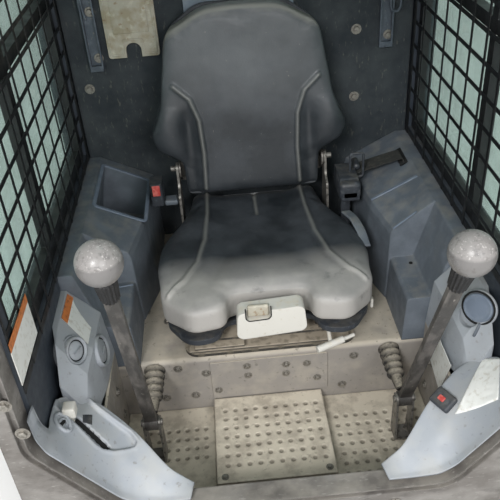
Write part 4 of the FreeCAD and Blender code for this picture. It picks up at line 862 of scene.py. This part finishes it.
def make_corner_trims():
    """Both light corner trims; the left one sinks into the throttle's recess inside a raised rim."""
    for side, sign in (("left", -1), ("right", 1)):
        top = trim_surface(sign)
        if side == "left":
            plan = top[..., :2].reshape(-1, 2)
            away = distance_to_polygon(plan, RECESS).reshape(top.shape[:2])
            slot = distance_to_line(plan, THROTTLE_SLOT).reshape(top.shape[:2])
            top[..., 2] += (2.8 * hill(away - 3.0, 2.4) - 8.0 * step_up(0.5, -3.5, away)
                            - 14.0 * step_up(7.0, 5.5, slot))
        shell = closed_shell(top * MM, (top - (0, 0, TRIM_WALL)) * MM)
        piece = surface_object(f"corner_trim_{side}_moulding", shell, "trim_plastic")
        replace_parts(piece, f"corner_trim_{side}")


def on_trim(sign, places, lift):
    """Points on a trim's surface, in mm: the plan places with the height of the nearest one."""
    top = trim_surface(sign).reshape(-1, 3)
    places = np.asarray(places, float)
    nearest = np.argmin(((places[:, None, :] - top[None, :, :2]) ** 2).sum(-1), 1)
    return np.column_stack([places, top[nearest, 2] + lift])


def trim_patch(sign, corners, lift):
    """Thin sheet that follows a trim between four plan corners."""
    plan = blended(corners, 22)
    top = on_trim(sign, plan.reshape(-1, 2), lift).reshape(*plan.shape[:2], 3)
    return closed_shell(top * MM, (top - (0, 0, 1.2)) * MM)


def make_trim_fittings():
    """Hooked boss, black slot lining of painted shade and switch hole of the left trim, and the dark strips
    inboard: a punched bracket, and painted shade under the trim's edge.
    """
    turn = around(40)
    oval = np.stack([-412 + 12 * np.cos(turn) - 5 * np.sin(turn), -401 + 18 * np.sin(turn)], 1)
    boss = carried(on_trim(-1, oval, 1.5) * MM, circle(0.0042), closed=True)
    turn = np.linspace(-0.4, 3.6, 24)
    hook = np.stack([-411 + 6 * np.cos(turn), -402 + 9 * np.sin(turn)], 1)
    hook = carried(on_trim(-1, hook, 2.0) * MM, circle(0.0022, 8))
    surface_object("trim_boss", joined([boss, hook]), "trim_plastic")
    slot = np.linspace(THROTTLE_SLOT[0], THROTTLE_SLOT[1], 20)
    lining = carried(on_trim(-1, slot, -19.0) * MM, rounded(0.012, 0.006, 0.002))
    dip = np.linspace((-410, -391), (-414, -410), 6)
    dip = carried(on_trim(-1, dip, 0.0) * MM, rounded(0.007, 0.004, 0.0015))
    # black lining of painted shade in the throttle slot and the dip
    surface_object("trim_gaps", joined([lining, dip]), "gap_black")
    blank = trim_patch(-1, [(-386, -360), (-371, -352), (-369, -376), (-384, -378)], -6.8)
    surface_object("switch_blank", blank, "dark_plastic")
    grip = rounded_block((-0.415, -0.386, 0.324), (-0.391, -0.361, 0.349), 0.0035)
    stem = rounded_block((-0.407, -0.378, 0.303), (-0.399, -0.370, 0.330), 0.002)
    piece = surface_object("throttle_grip", joined([grip, stem]), "pale_plastic")
    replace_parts(piece, "throttle_lever")
    # dark strips under the trims' inner edges: a bracket, and painted shade
    strips = []
    for sign in (-1, 1):
        path = np.array(TRIM_STRIP, float) * (sign, 1, 1)
        strips.append(carried(eased_line(path, 40) * MM, rounded(0.003, 0.026, 0.001)))
    surface_object("trim_edge_strips", joined(strips), "dark_plastic")
    sheet = trim_patch(1, [(407, -332), (331, -413), (399, -437), (431, -352)], 1.0)
    surface_object("trim_label", sheet, "plate_white")


def vent_profile(radius):
    """Bezel with a rolled rim, a sunk gap and a domed flap, as (radius, height) in mm."""
    return np.array([(0, -13.5), (radius, -13.5), (radius, -3), (radius - 0.8, -1), (radius - 2.5, 0),
                     (radius - 4.5, -1), (radius - 6, -4), (radius - 6.5, -7), (radius - 8, -7.5),
                     (radius - 9, -5), (radius - 13, -3.4), (radius - 19, -2.6), (0, -2.2)]) * MM


def make_vents():
    """Round air vents with a finger tab across each flap, and the closed oval flap on the right."""
    parts, gaps = [], []
    for place, normal, radius in VENTS:
        place = metres(place)
        parts.append(turned(revolve(vent_profile(radius), 40), place, normal))
        tab = carried(np.linspace((-0.011, 0, -0.001), (0.011, 0, -0.001), 5), rounded(0.003, 0.005, 0.0012))
        parts.append(turned(tab, place, normal))
        ring = around(40)
        gap = np.stack([np.cos(ring), np.sin(ring), 0 * ring], 1) * (radius - 7.5) * MM
        points, faces = carried(gap, circle(0.0016, 8), closed=True)
        gaps.append(turned((points - (0, 0, 0.0062), faces), place, normal))
    piece = surface_object("air_vent_rings", joined(parts), "trim_plastic")
    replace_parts(sharpen(piece, 50), "air_vents")
    # black rings of painted shade in the vents' gaps
    surface_object("air_vent_gaps", joined(gaps), "gap_black")
    # the flap: an oval disc, domed by 2 mm, whose edge is rolled back
    points, faces = revolve(metres(FLAP_PROFILE), 48)
    along = np.array((37.0, -47.2, 34.4)) / 69.3
    across = np.array((-3.9, 25.9, 39.6)) / 47.5
    out = np.array((-0.87, -0.42, 0.36)) / 1.03
    centre = np.array((409, -277, 410)) * MM
    turn = around(48)[:, None]
    rim = centre + 0.038 * np.cos(turn) * along + 0.033 * np.sin(turn) * across
    # rim of the flap, and a black tube of painted shade round it
    for name, shift, tube, finish in (("flap_rim", 0.001, 0.0042, "trim_plastic"),
                                      ("flap_gap", 0.005, 0.0022, "gap_black")):
        surface_object(name, carried(rim + out * shift, circle(tube), up=out, closed=True), finish)
    oval = points[:, :1] * along + points[:, 1:2] * 0.84 * across + points[:, 2:] * out
    surface_object("vent_flap", (centre + out * 0.008 + oval, faces), "flap_plastic")
    lever = eased_line(metres([(406, -296, 386), (399, -302, 376), (394, -303, 360)]), 12)
    surface_object("vent_lever", carried(lever, rounded(0.004, 0.007, 0.0015), up=out), "console_plastic")


def joint_place(name):
    """Where a joint's axis stands, in metres."""
    return next(j for j in frame["record"]["behaviour"]["joints"] if j["name"] == name)["pos_m"]


def make_lever_tops():
    """Ball grips with their moulding seam, and the sleeves below, fluted by a cosine of the angle."""
    for side in ("left", "right"):
        low, high = (np.array(c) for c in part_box(f"knob_{side}"))
        radius = (high[0] - low[0]) / 2
        centre = np.array([(low[0] + high[0]) / 2, low[1] + radius, high[2] - radius])
        pivot = np.array(joint_place(f"{side}_lever_swing"))
        axis = (centre - pivot) / np.linalg.norm(centre - pivot)
        turn = np.linspace(-math.pi / 2, math.pi / 2, 41)
        seam = 1 + 0.010 * hill(turn - 0.2, 0.03)
        ball = np.stack([radius * np.cos(turn) * seam, radius * np.sin(turn)], 1)
        ball[0, 0] = ball[-1, 0] = 0
        foot = -radius - SLEEVE_GAP
        stub = np.array([(0, foot), (0.015, foot), (0.015, -radius * 0.9), (0, -radius * 0.9)])
        parts = [turned(revolve(profile, 48), centre, axis) for profile in (ball, stub)]
        piece = surface_object(f"ball_grip_{side}", joined(parts), "knob_plastic", f"{side}_lever")
        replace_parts(piece, f"knob_{side}")
        height = np.linspace(0, SLEEVE_LENGTH, 14)
        widening = SLEEVE_RADIUS + SLEEVE_FLARE * height / SLEEVE_LENGTH
        sleeve = np.concatenate([[(0, 0)], np.stack([widening, height], 1), [(0, SLEEVE_LENGTH)]])
        points, faces = revolve(sleeve, 96)
        angle = np.arctan2(points[:, 1], points[:, 0])
        points[:, :2] *= 1 + FLUTE_DEPTH * np.cos(FLUTES * angle)[:, None]
        base = centre - axis * (radius + SLEEVE_GAP + SLEEVE_LENGTH)
        sleeve = turned((points, faces), base, axis)
        piece = surface_object(f"ribbed_sleeve_{side}", sleeve, "ribbed_rubber", f"{side}_lever")
        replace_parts(piece, f"sleeve_{side}")


def make_boots():
    """Bellows over the push rods: radius swings between rings and deep grooves, then a cone."""
    t = np.linspace(0, 1, 120)
    phase = np.clip(t / BOOT_FOLDED, 0, 1) * BOOT_FOLDS
    ring = np.abs(np.cos(phase * math.pi)) ** 0.6
    body = np.interp(t, [0, BOOT_FOLDED, 0.80, 1], [0.0160, 0.0120, 0.0125, 0.0085])
    body = body + np.where(t < BOOT_FOLDED, 0.0090 - 0.002 * t, 0) * ring
    profile = np.concatenate([[(0, 0)], np.stack([body, t * BOOT_LENGTH], 1), [(0, BOOT_LENGTH)]])
    axis = (0, -math.cos(BOOT_TILT), -math.sin(BOOT_TILT))
    parts = [turned(revolve(profile, 32), metres((sign * 275, RISER_Y, 176)), axis) for sign in (-1, 1)]
    piece = surface_object("push_rod_boots", joined(parts), "boot_rubber")
    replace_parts(piece, "lever_boots")


def make_bolts(style):
    """Hex bolt heads on their washers, on the deck, the step, the walls and the ring."""
    washer = np.array([(0, 0), (1.55, 0), (1.6, 0.1), (1.55, 0.22), (0, 0.22)])
    head = np.array([(0, 0.2), (1.0, 0.2), (1.0, 0.75), (0.86, 0.92), (0, 0.95)])
    parts = []
    for axis, scale, places in BOLTS:
        for place in places:
            for profile, steps in ((washer, 20), (head, 6)):
                turning = revolve(profile * style.bolt_radius * scale, steps)
                parts.append(turned(turning, metres(place), axis))
    sharpen(surface_object("bolt_heads", joined(parts), "zinc"), 30)


def tilted_plate(corners, thickness):
    """Thin plate over four corners in mm, raised along its normal to the side of the open front."""
    c = metres(corners)
    normal = np.cross(c[1] - c[0], c[3] - c[0])
    normal /= np.linalg.norm(normal)
    normal *= np.sign(normal @ (np.array(CAMERA_PLACE) - c.mean(0)))
    flat = blended(c, 7)
    return closed_shell(flat + normal * thickness * MM, flat - normal * 0.3 * MM)


def make_labels():
    """Blank plates with a coloured band, on the consoles, the screen and the window bands."""
    white, orange = [], []
    for corners, share in PLATES:
        white.append(tilted_plate(corners, 0.8))
        if share:
            c = np.array(corners, float)
            band = [c[0], c[1], c[1] + (c[2] - c[1]) * share, c[0] + (c[3] - c[0]) * share]
            orange.append(tilted_plate(band, 1.2))
    sharpen(surface_object("blank_labels", joined(white), "plate_white"), 30)
    sharpen(surface_object("label_bands", joined(orange), "plate_orange"), 30)


def on_slope(x, y, lift):
    """Points in mm on the sloping top of a console; x may be of either side."""
    x, y = np.asarray(x, float), np.asarray(y, float)
    z = CONSOLE_RIM[1] - (CONSOLE_RIM[0] - np.abs(x)) * CONSOLE_SLOPE + lift
    return np.stack([x, y + 0 * x, z + 0 * y], -1)


def make_console_details():
    """Rolled lip round the storage tray, pressed ribs of the right console and raised ridges across the left
    shelf.
    """
    plan = rounded(117, 213, 10, 6) + (-337, 272)
    path = on_slope(plan[:, 0], plan[:, 1], 1.6) * MM
    lip = carried(path, rounded(0.010, 0.004, 0.0015), up=(CONSOLE_SLOPE, 0, 1), closed=True)
    surface_object("tray_lip", lip, "flap_plastic")
    ribs = []
    for (x0, y0), (x1, y1), width in (((288, 166), (400, 166), 0.009), ((306, 15), (364, 33), 0.005)):
        path = on_slope(np.linspace(x0, x1, 8), np.linspace(y0, y1, 8), 0.6) * MM
        ribs.append(carried(path, rounded(width, 0.0036, 0.0015), up=(-CONSOLE_SLOPE, 0, 1)))
    for y in (48, 20):
        path = np.linspace((-368, y - 6, 322.6), (-312, y + 2, 322.6), 6) * MM
        ribs.append(carried(path, rounded(0.004, 0.004, 0.0012)))
    surface_object("console_ribs", joined(ribs), "flap_plastic")
    path = np.linspace((388, 244, 461.4), (388, 324, 461.4), 5) * MM
    slot = carried(path, rounded(0.022, 0.002, 0.0008), up=(-CONSOLE_SLOPE, 0, 1))
    points, faces = revolve(metres([(0, 0), (4.5, 0), (4.5, 1.5), (3, 2.6), (0, 2.8)]), 16)
    hole = (points + metres((352, 6, 322)), faces)
    # black slot and hole of painted shade
    surface_object("console_gaps", joined([slot, hole]), "gap_black")


def make_seat_fittings():
    """Adjuster's window, buckle's button and sleeve, side lever, side tab and the plate below."""
    window = rounded_block((-0.049, -0.176, 0.355), (-0.003, -0.167, 0.384), 0.004)
    surface_object("adjuster_window", window, "pocket_plastic", "seat")
    path = metres([(-53, -184.6, 386), (-53, -184.6, 358), (-47, -184.6, 351), (-5, -184.6, 353),
                   (1, -184.6, 360), (1, -184.6, 388)])
    outline = carried(eased_line(path, 40, 0.3), circle(0.0013, 8), up=(0, 1, 0))
    gap = rounded_block((-0.2655, 0.2452, 0.428), (-0.2595, 0.2480, 0.460), 0.0012)
    # black outline and gap of painted shade
    surface_object("fitting_gaps", joined([outline, gap]), "gap_black", "seat")
    button = rounded_block((-0.2595, 0.2435, 0.430), (-0.2395, 0.2500, 0.460), 0.002)
    surface_object("buckle_button", button, "red_plastic", "seat")
    sleeve = rounded_block((-0.234, 0.260, 0.390), (-0.200, 0.294, 0.404), 0.004)
    surface_object("buckle_sleeve", sleeve, "console_plastic", "seat")
    side = [rounded_block((0.236, -0.090, 0.276), (0.243, -0.074, 0.300), 0.003),
            rounded_block((0.196, -0.108, 0.236), (0.204, -0.096, 0.262), 0.003)]
    surface_object("side_tabs", joined(side), "pale_plastic", "seat")
    paddle = eased_line(metres([(222, 158, 388), (235, 118, 392), (244, 70, 384), (248, 30, 366)]), 30)
    lever = carried(paddle, rounded(0.024, 0.006, 0.0025), up=(0.3, -0.6, 1))
    surface_object("seat_side_lever", lever, "console_plastic", "seat")
    layers = [rounded_block((-0.190, -0.121, 0.2145), (0.184, 0.10, 0.2205), 0.0028),
              rounded_block((-0.176, -0.128, 0.2290), (-0.060, 0.05, 0.2350), 0.0028)]
    surface_object("suspension_layers", joined(layers), "seat_steel")


def make_belt_loop():
    """Plastic loop that the webbing runs through above the retractor, and the retractor's cover."""
    loop = rounded(0.034, 0.066, 0.007, 6)
    path = np.stack([0.266 + loop[:, 0], 0.247 + 0 * loop[:, 0], 0.468 + loop[:, 1]], 1)
    frame_part = carried(path, circle(0.0032, 10), up=(0, 1, 0), closed=True)
    cover = rounded_block((0.2135, 0.186, 0.398), (0.2675, 0.262, 0.449), 0.011, 5)
    spool = carried(np.linspace((0.2705, 0.262, 0.452), (0.2705, 0.296, 0.456), 6), circle(0.009, 16))
    surface_object("belt_loop", joined([frame_part, cover, spool]), "dark_plastic")


def make_wall_details():
    """Rods beside the wall straps and the pressed frame of the pocket."""
    rods = [carried(eased_line(metres(line), 40, 0.4), circle(0.0034, 10), up=(0, 1, 0))
            for line in WALL_RODS]
    surface_object("wall_rods", joined(rods), "bar_paint")
    path = eased_line(metres([(x, 409.8, z) for x, z in POCKET_RIM]), 120, 0.18)[:-1]
    rim = carried(path, rounded(0.006, 0.003, 0.0012), up=(0, -1, 0), closed=True)
    panel = rounded_block((-0.312, 0.4085, 0.800), (-0.224, 0.4115, 0.940), 0.0014)
    surface_object("pocket_frame", joined([rim, panel]), "pocket_plastic")


def make_switch():
    """Worn switch block with a red top, standing on the right trim's inner edge."""
    block = rounded_block((-0.023, -0.018, -0.008), (0.023, 0.018, 0.008), 0.005)
    cap = rounded_block((-0.009, -0.006, 0.005), (0.006, 0.005, 0.0100), 0.002)
    place, axis = (0.318, -0.381, 0.272), (-0.55, -0.30, 1.0)
    surface_object("switch_block", turned(block, place, axis), "dark_plastic")
    surface_object("switch_cap", turned(cap, place, axis), "red_plastic")


def make_finishes(style):
    """Makes all materials and gives every CAD node the one of its slot."""
    for slot, row in finish_table(style).items():
        FINISH[slot] = finish_material(*row)
    FINISH["glass"] = glass_material()
    for row in frame["record"]["subparts"]:
        node = frame["nodes"][row["node"]]
        node.data.materials.clear()
        node.data.materials.append(FINISH[OWN_FINISH.get(row["node"], row["material_slot"])])


def axes_matrix(x, y, z, place):
    """Matrix that turns the three axes to x, y and z and moves them to a place."""
    matrix = np.eye(4)
    matrix[:3] = np.column_stack([x, y, z, place])
    return Matrix(matrix.tolist())


def aimed(place, aim):
    """Matrix of a lamp at a place whose -Z points at aim."""
    z = np.array(place, float) - np.array(aim, float)
    z /= np.linalg.norm(z)
    x = np.cross((0, 0, 1), z)
    x /= np.linalg.norm(x)
    return axes_matrix(x, np.cross(z, x), z, place)


def camera_matrix():
    """Matrix of the photograph's camera from its pitch, yaw and roll."""
    pitch, yaw, roll = (math.radians(a) for a in (CAMERA_PITCH, CAMERA_YAW, CAMERA_ROLL))
    ahead = np.array([math.sin(yaw) * math.cos(pitch), math.cos(yaw) * math.cos(pitch), -math.sin(pitch)])
    right = np.array([math.cos(yaw), -math.sin(yaw), 0])
    down = np.cross(ahead, right)
    return axes_matrix(math.cos(roll) * right + math.sin(roll) * down,
                       math.sin(roll) * right - math.cos(roll) * down, -ahead, CAMERA_PLACE)


def make_stage(style):
    """Pale floor, white surroundings, three soft lamps and the camera."""
    scene = bpy.context.scene
    scene.view_settings.view_transform = "Standard"
    scene.world = bpy.data.worlds.new("pale studio")
    tree = node_tree(scene.world)
    # the camera and reflections see white, and the rest is lit by the sky level
    rays = add(tree, "ShaderNodeLightPath").outputs
    seen = rays["Is Camera Ray"]
    for kind in ("Is Glossy Ray", "Is Transmission Ray"):
        seen = add(tree, "ShaderNodeMath", {0: seen, 1: rays[kind]}, operation="MAXIMUM").outputs[0]
    light = add(tree, "ShaderNodeBackground", Color=linear("#ffffff"), Strength=style.sky_level)
    white = add(tree, "ShaderNodeBackground", Color=linear("#ffffff"), Strength=1.0)
    mix = add(tree, "ShaderNodeMixShader", {0: seen, 1: light.outputs[0], 2: white.outputs[0]})
    tree.links.new(mix.outputs[0], tree.nodes["World Output"].inputs["Surface"])
    half = FLOOR_SIZE / 2
    corners = [(-half, -half, 0), (half, -half, 0), (half, half, 0), (-half, half, 0)]
    mesh = bpy.data.meshes.new("studio_floor")
    mesh.from_pydata(corners, [], [(0, 1, 2, 3)])
    floor = in_scene("studio_floor", mesh)
    paint = bpy.data.materials.new("pale studio floor")
    shader = node_tree(paint).nodes["Principled BSDF"]
    shader.inputs["Base Color"].default_value = linear("#e4e4e2")
    shader.inputs["Roughness"].default_value = 0.85
    mesh.materials.append(paint)
    for name, place, aim, side, share in LAMPS:
        lamp = bpy.data.lights.new(name, "AREA")
        lamp.shape = "SQUARE"
        lamp.size = side
        lamp.energy = style.key_power * share
        in_scene(name, lamp).matrix_world = aimed(place, aim)
    camera = bpy.data.cameras.new("photo camera")
    camera.lens = CAMERA_LENS
    camera.sensor_width = CAMERA_SENSOR
    camera.clip_start = 0.02
    scene.camera = in_scene("photo camera", camera)
    scene.camera.matrix_world = camera_matrix()


class CabStyle(bpy.types.PropertyGroup):
    """Sizes and colours that a user may change before building."""
    cover: FloatVectorProperty(name="Seat cover", description="Vinyl of the seat",
                               subtype="COLOR", size=3, min=0, max=1, default=srgb("#23272b"))
    console: FloatVectorProperty(name="Consoles", description="Side consoles beside the seat",
                                 subtype="COLOR", size=3, min=0, max=1, default=srgb("#5d646c"))
    trim: FloatVectorProperty(name="Trims", description="Front consoles and corner trims",
                              subtype="COLOR", size=3, min=0, max=1, default=srgb("#989da3"))
    piping_height: FloatProperty(name="Seam height", description="Rise of the seat's seams", default=0.0075,
                                 min=0, max=0.012, unit="LENGTH")
    side_swell: FloatProperty(name="Side swell", description="How far the cushion's flanks bulge",
                              default=0.024, min=0, max=0.03, unit="LENGTH")
    dimple_depth: FloatProperty(name="Dimple depth", description="Depth of the tread dimples", default=0.0035,
                                min=0, max=0.006, unit="LENGTH")
    bolt_radius: FloatProperty(name="Bolt head", description="Half width of a bolt head", default=0.0075,
                               min=0.004, max=0.012, unit="LENGTH")
    sky_level: FloatProperty(name="Sky level", description="Strength of the surroundings", default=0.8,
                             min=0, max=3)
    key_power: FloatProperty(name="Key lamp", description="Power of the largest lamp", default=170.0,
                             min=0, max=1000, unit="POWER")


class CAB_OT_finishes(bpy.types.Operator):
    """Make the materials and give the CAD nodes theirs"""
    bl_idname = "cab.finishes"
    bl_label = "Finishes"

    def execute(self, context):
        make_finishes(context.scene.cab_style)
        return {"FINISHED"}


class CAB_OT_seat_cushion(bpy.types.Operator):
    """Build the padded seat cushion"""
    bl_idname = "cab.seat_cushion"
    bl_label = "Seat cushion"

    def execute(self, context):
        make_seat_cushion(context.scene.cab_style)
        return {"FINISHED"}


class CAB_OT_back_cushion(bpy.types.Operator):
    """Build the padded seat back"""
    bl_idname = "cab.back_cushion"
    bl_label = "Back cushion"

    def execute(self, context):
        make_back_cushion(context.scene.cab_style)
        return {"FINISHED"}


class CAB_OT_treads(bpy.types.Operator):
    """Build the dimpled treads of the footwell"""
    bl_idname = "cab.treads"
    bl_label = "Treads"

    def execute(self, context):
        make_treads(context.scene.cab_style)
        return {"FINISHED"}


class CAB_OT_corner_trims(bpy.types.Operator):
    """Build the moulded corner trims"""
    bl_idname = "cab.corner_trims"
    bl_label = "Corner trims"

    def execute(self, context):
        make_corner_trims()
        return {"FINISHED"}


class CAB_OT_trim_fittings(bpy.types.Operator):
    """Build the boss, gaps and strips of the corner trims"""
    bl_idname = "cab.trim_fittings"
    bl_label = "Trim fittings"

    def execute(self, context):
        make_trim_fittings()
        return {"FINISHED"}


class CAB_OT_vents(bpy.types.Operator):
    """Build the air vents"""
    bl_idname = "cab.vents"
    bl_label = "Air vents"

    def execute(self, context):
        make_vents()
        return {"FINISHED"}


class CAB_OT_lever_tops(bpy.types.Operator):
    """Build the ball grips and fluted sleeves of the levers"""
    bl_idname = "cab.lever_tops"
    bl_label = "Lever tops"

    def execute(self, context):
        make_lever_tops()
        return {"FINISHED"}


class CAB_OT_boots(bpy.types.Operator):
    """Build the bellows over the push rods"""
    bl_idname = "cab.boots"
    bl_label = "Boots"

    def execute(self, context):
        make_boots()
        return {"FINISHED"}


class CAB_OT_bolts(bpy.types.Operator):
    """Build the bolt heads"""
    bl_idname = "cab.bolts"
    bl_label = "Bolts"

    def execute(self, context):
        make_bolts(context.scene.cab_style)
        return {"FINISHED"}


class CAB_OT_labels(bpy.types.Operator):
    """Build the blank plates and their bands"""
    bl_idname = "cab.labels"
    bl_label = "Blank plates"

    def execute(self, context):
        make_labels()
        return {"FINISHED"}


class CAB_OT_console_details(bpy.types.Operator):
    """Build the tray's lip and the ribs of the consoles"""
    bl_idname = "cab.console_details"
    bl_label = "Console details"

    def execute(self, context):
        make_console_details()
        return {"FINISHED"}


class CAB_OT_seat_fittings(bpy.types.Operator):
    """Build the small fittings of the seat"""
    bl_idname = "cab.seat_fittings"
    bl_label = "Seat fittings"

    def execute(self, context):
        make_seat_fittings()
        return {"FINISHED"}


class CAB_OT_belt_loop(bpy.types.Operator):
    """Build the loop and cover of the belt retractor"""
    bl_idname = "cab.belt_loop"
    bl_label = "Belt loop"

    def execute(self, context):
        make_belt_loop()
        return {"FINISHED"}


class CAB_OT_wall_details(bpy.types.Operator):
    """Build the rods and the pocket's frame on the rear wall"""
    bl_idname = "cab.wall_details"
    bl_label = "Wall details"

    def execute(self, context):
        make_wall_details()
        return {"FINISHED"}


class CAB_OT_switch(bpy.types.Operator):
    """Build the switch on the right trim"""
    bl_idname = "cab.switch"
    bl_label = "Switch"

    def execute(self, context):
        make_switch()
        return {"FINISHED"}


class CAB_OT_stage(bpy.types.Operator):
    """Set up the floor, the surroundings, the lamps and the camera"""
    bl_idname = "cab.stage"
    bl_label = "Stage"

    def execute(self, context):
        make_stage(context.scene.cab_style)
        return {"FINISHED"}


OPERATORS = (CAB_OT_finishes, CAB_OT_seat_cushion, CAB_OT_back_cushion, CAB_OT_treads, CAB_OT_corner_trims,
             CAB_OT_trim_fittings, CAB_OT_vents, CAB_OT_lever_tops, CAB_OT_boots, CAB_OT_bolts, CAB_OT_labels,
             CAB_OT_console_details, CAB_OT_seat_fittings, CAB_OT_belt_loop, CAB_OT_wall_details,
             CAB_OT_switch, CAB_OT_stage)


class CAB_PT_panel(bpy.types.Panel):
    """Cab settings and the steps that build it"""
    bl_label = "Loader cab"
    bl_space_type = "VIEW_3D"
    bl_region_type = "UI"
    bl_category = "Cab"

    def draw(self, context):
        style = context.scene.cab_style
        for name in style.__annotations__:
            self.layout.prop(style, name)
        for operator in OPERATORS:
            self.layout.operator(operator.bl_idname)


CLASSES = (CabStyle, *OPERATORS, CAB_PT_panel)


def register():
    """Registers the classes and hangs the settings on the scene."""
    for item in CLASSES:
        bpy.utils.register_class(item)
    bpy.types.Scene.cab_style = PointerProperty(type=CabStyle)


def unregister():
    """Takes the settings and the classes away again."""
    del bpy.types.Scene.cab_style
    for item in reversed(CLASSES):
        bpy.utils.unregister_class(item)


def main():
    """Builds the whole cab."""
    register()
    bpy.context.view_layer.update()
    for operator in OPERATORS:
        family, name = operator.bl_idname.split(".")
        getattr(getattr(bpy.ops, family), name)()


if __name__ == "__main__":
    main()
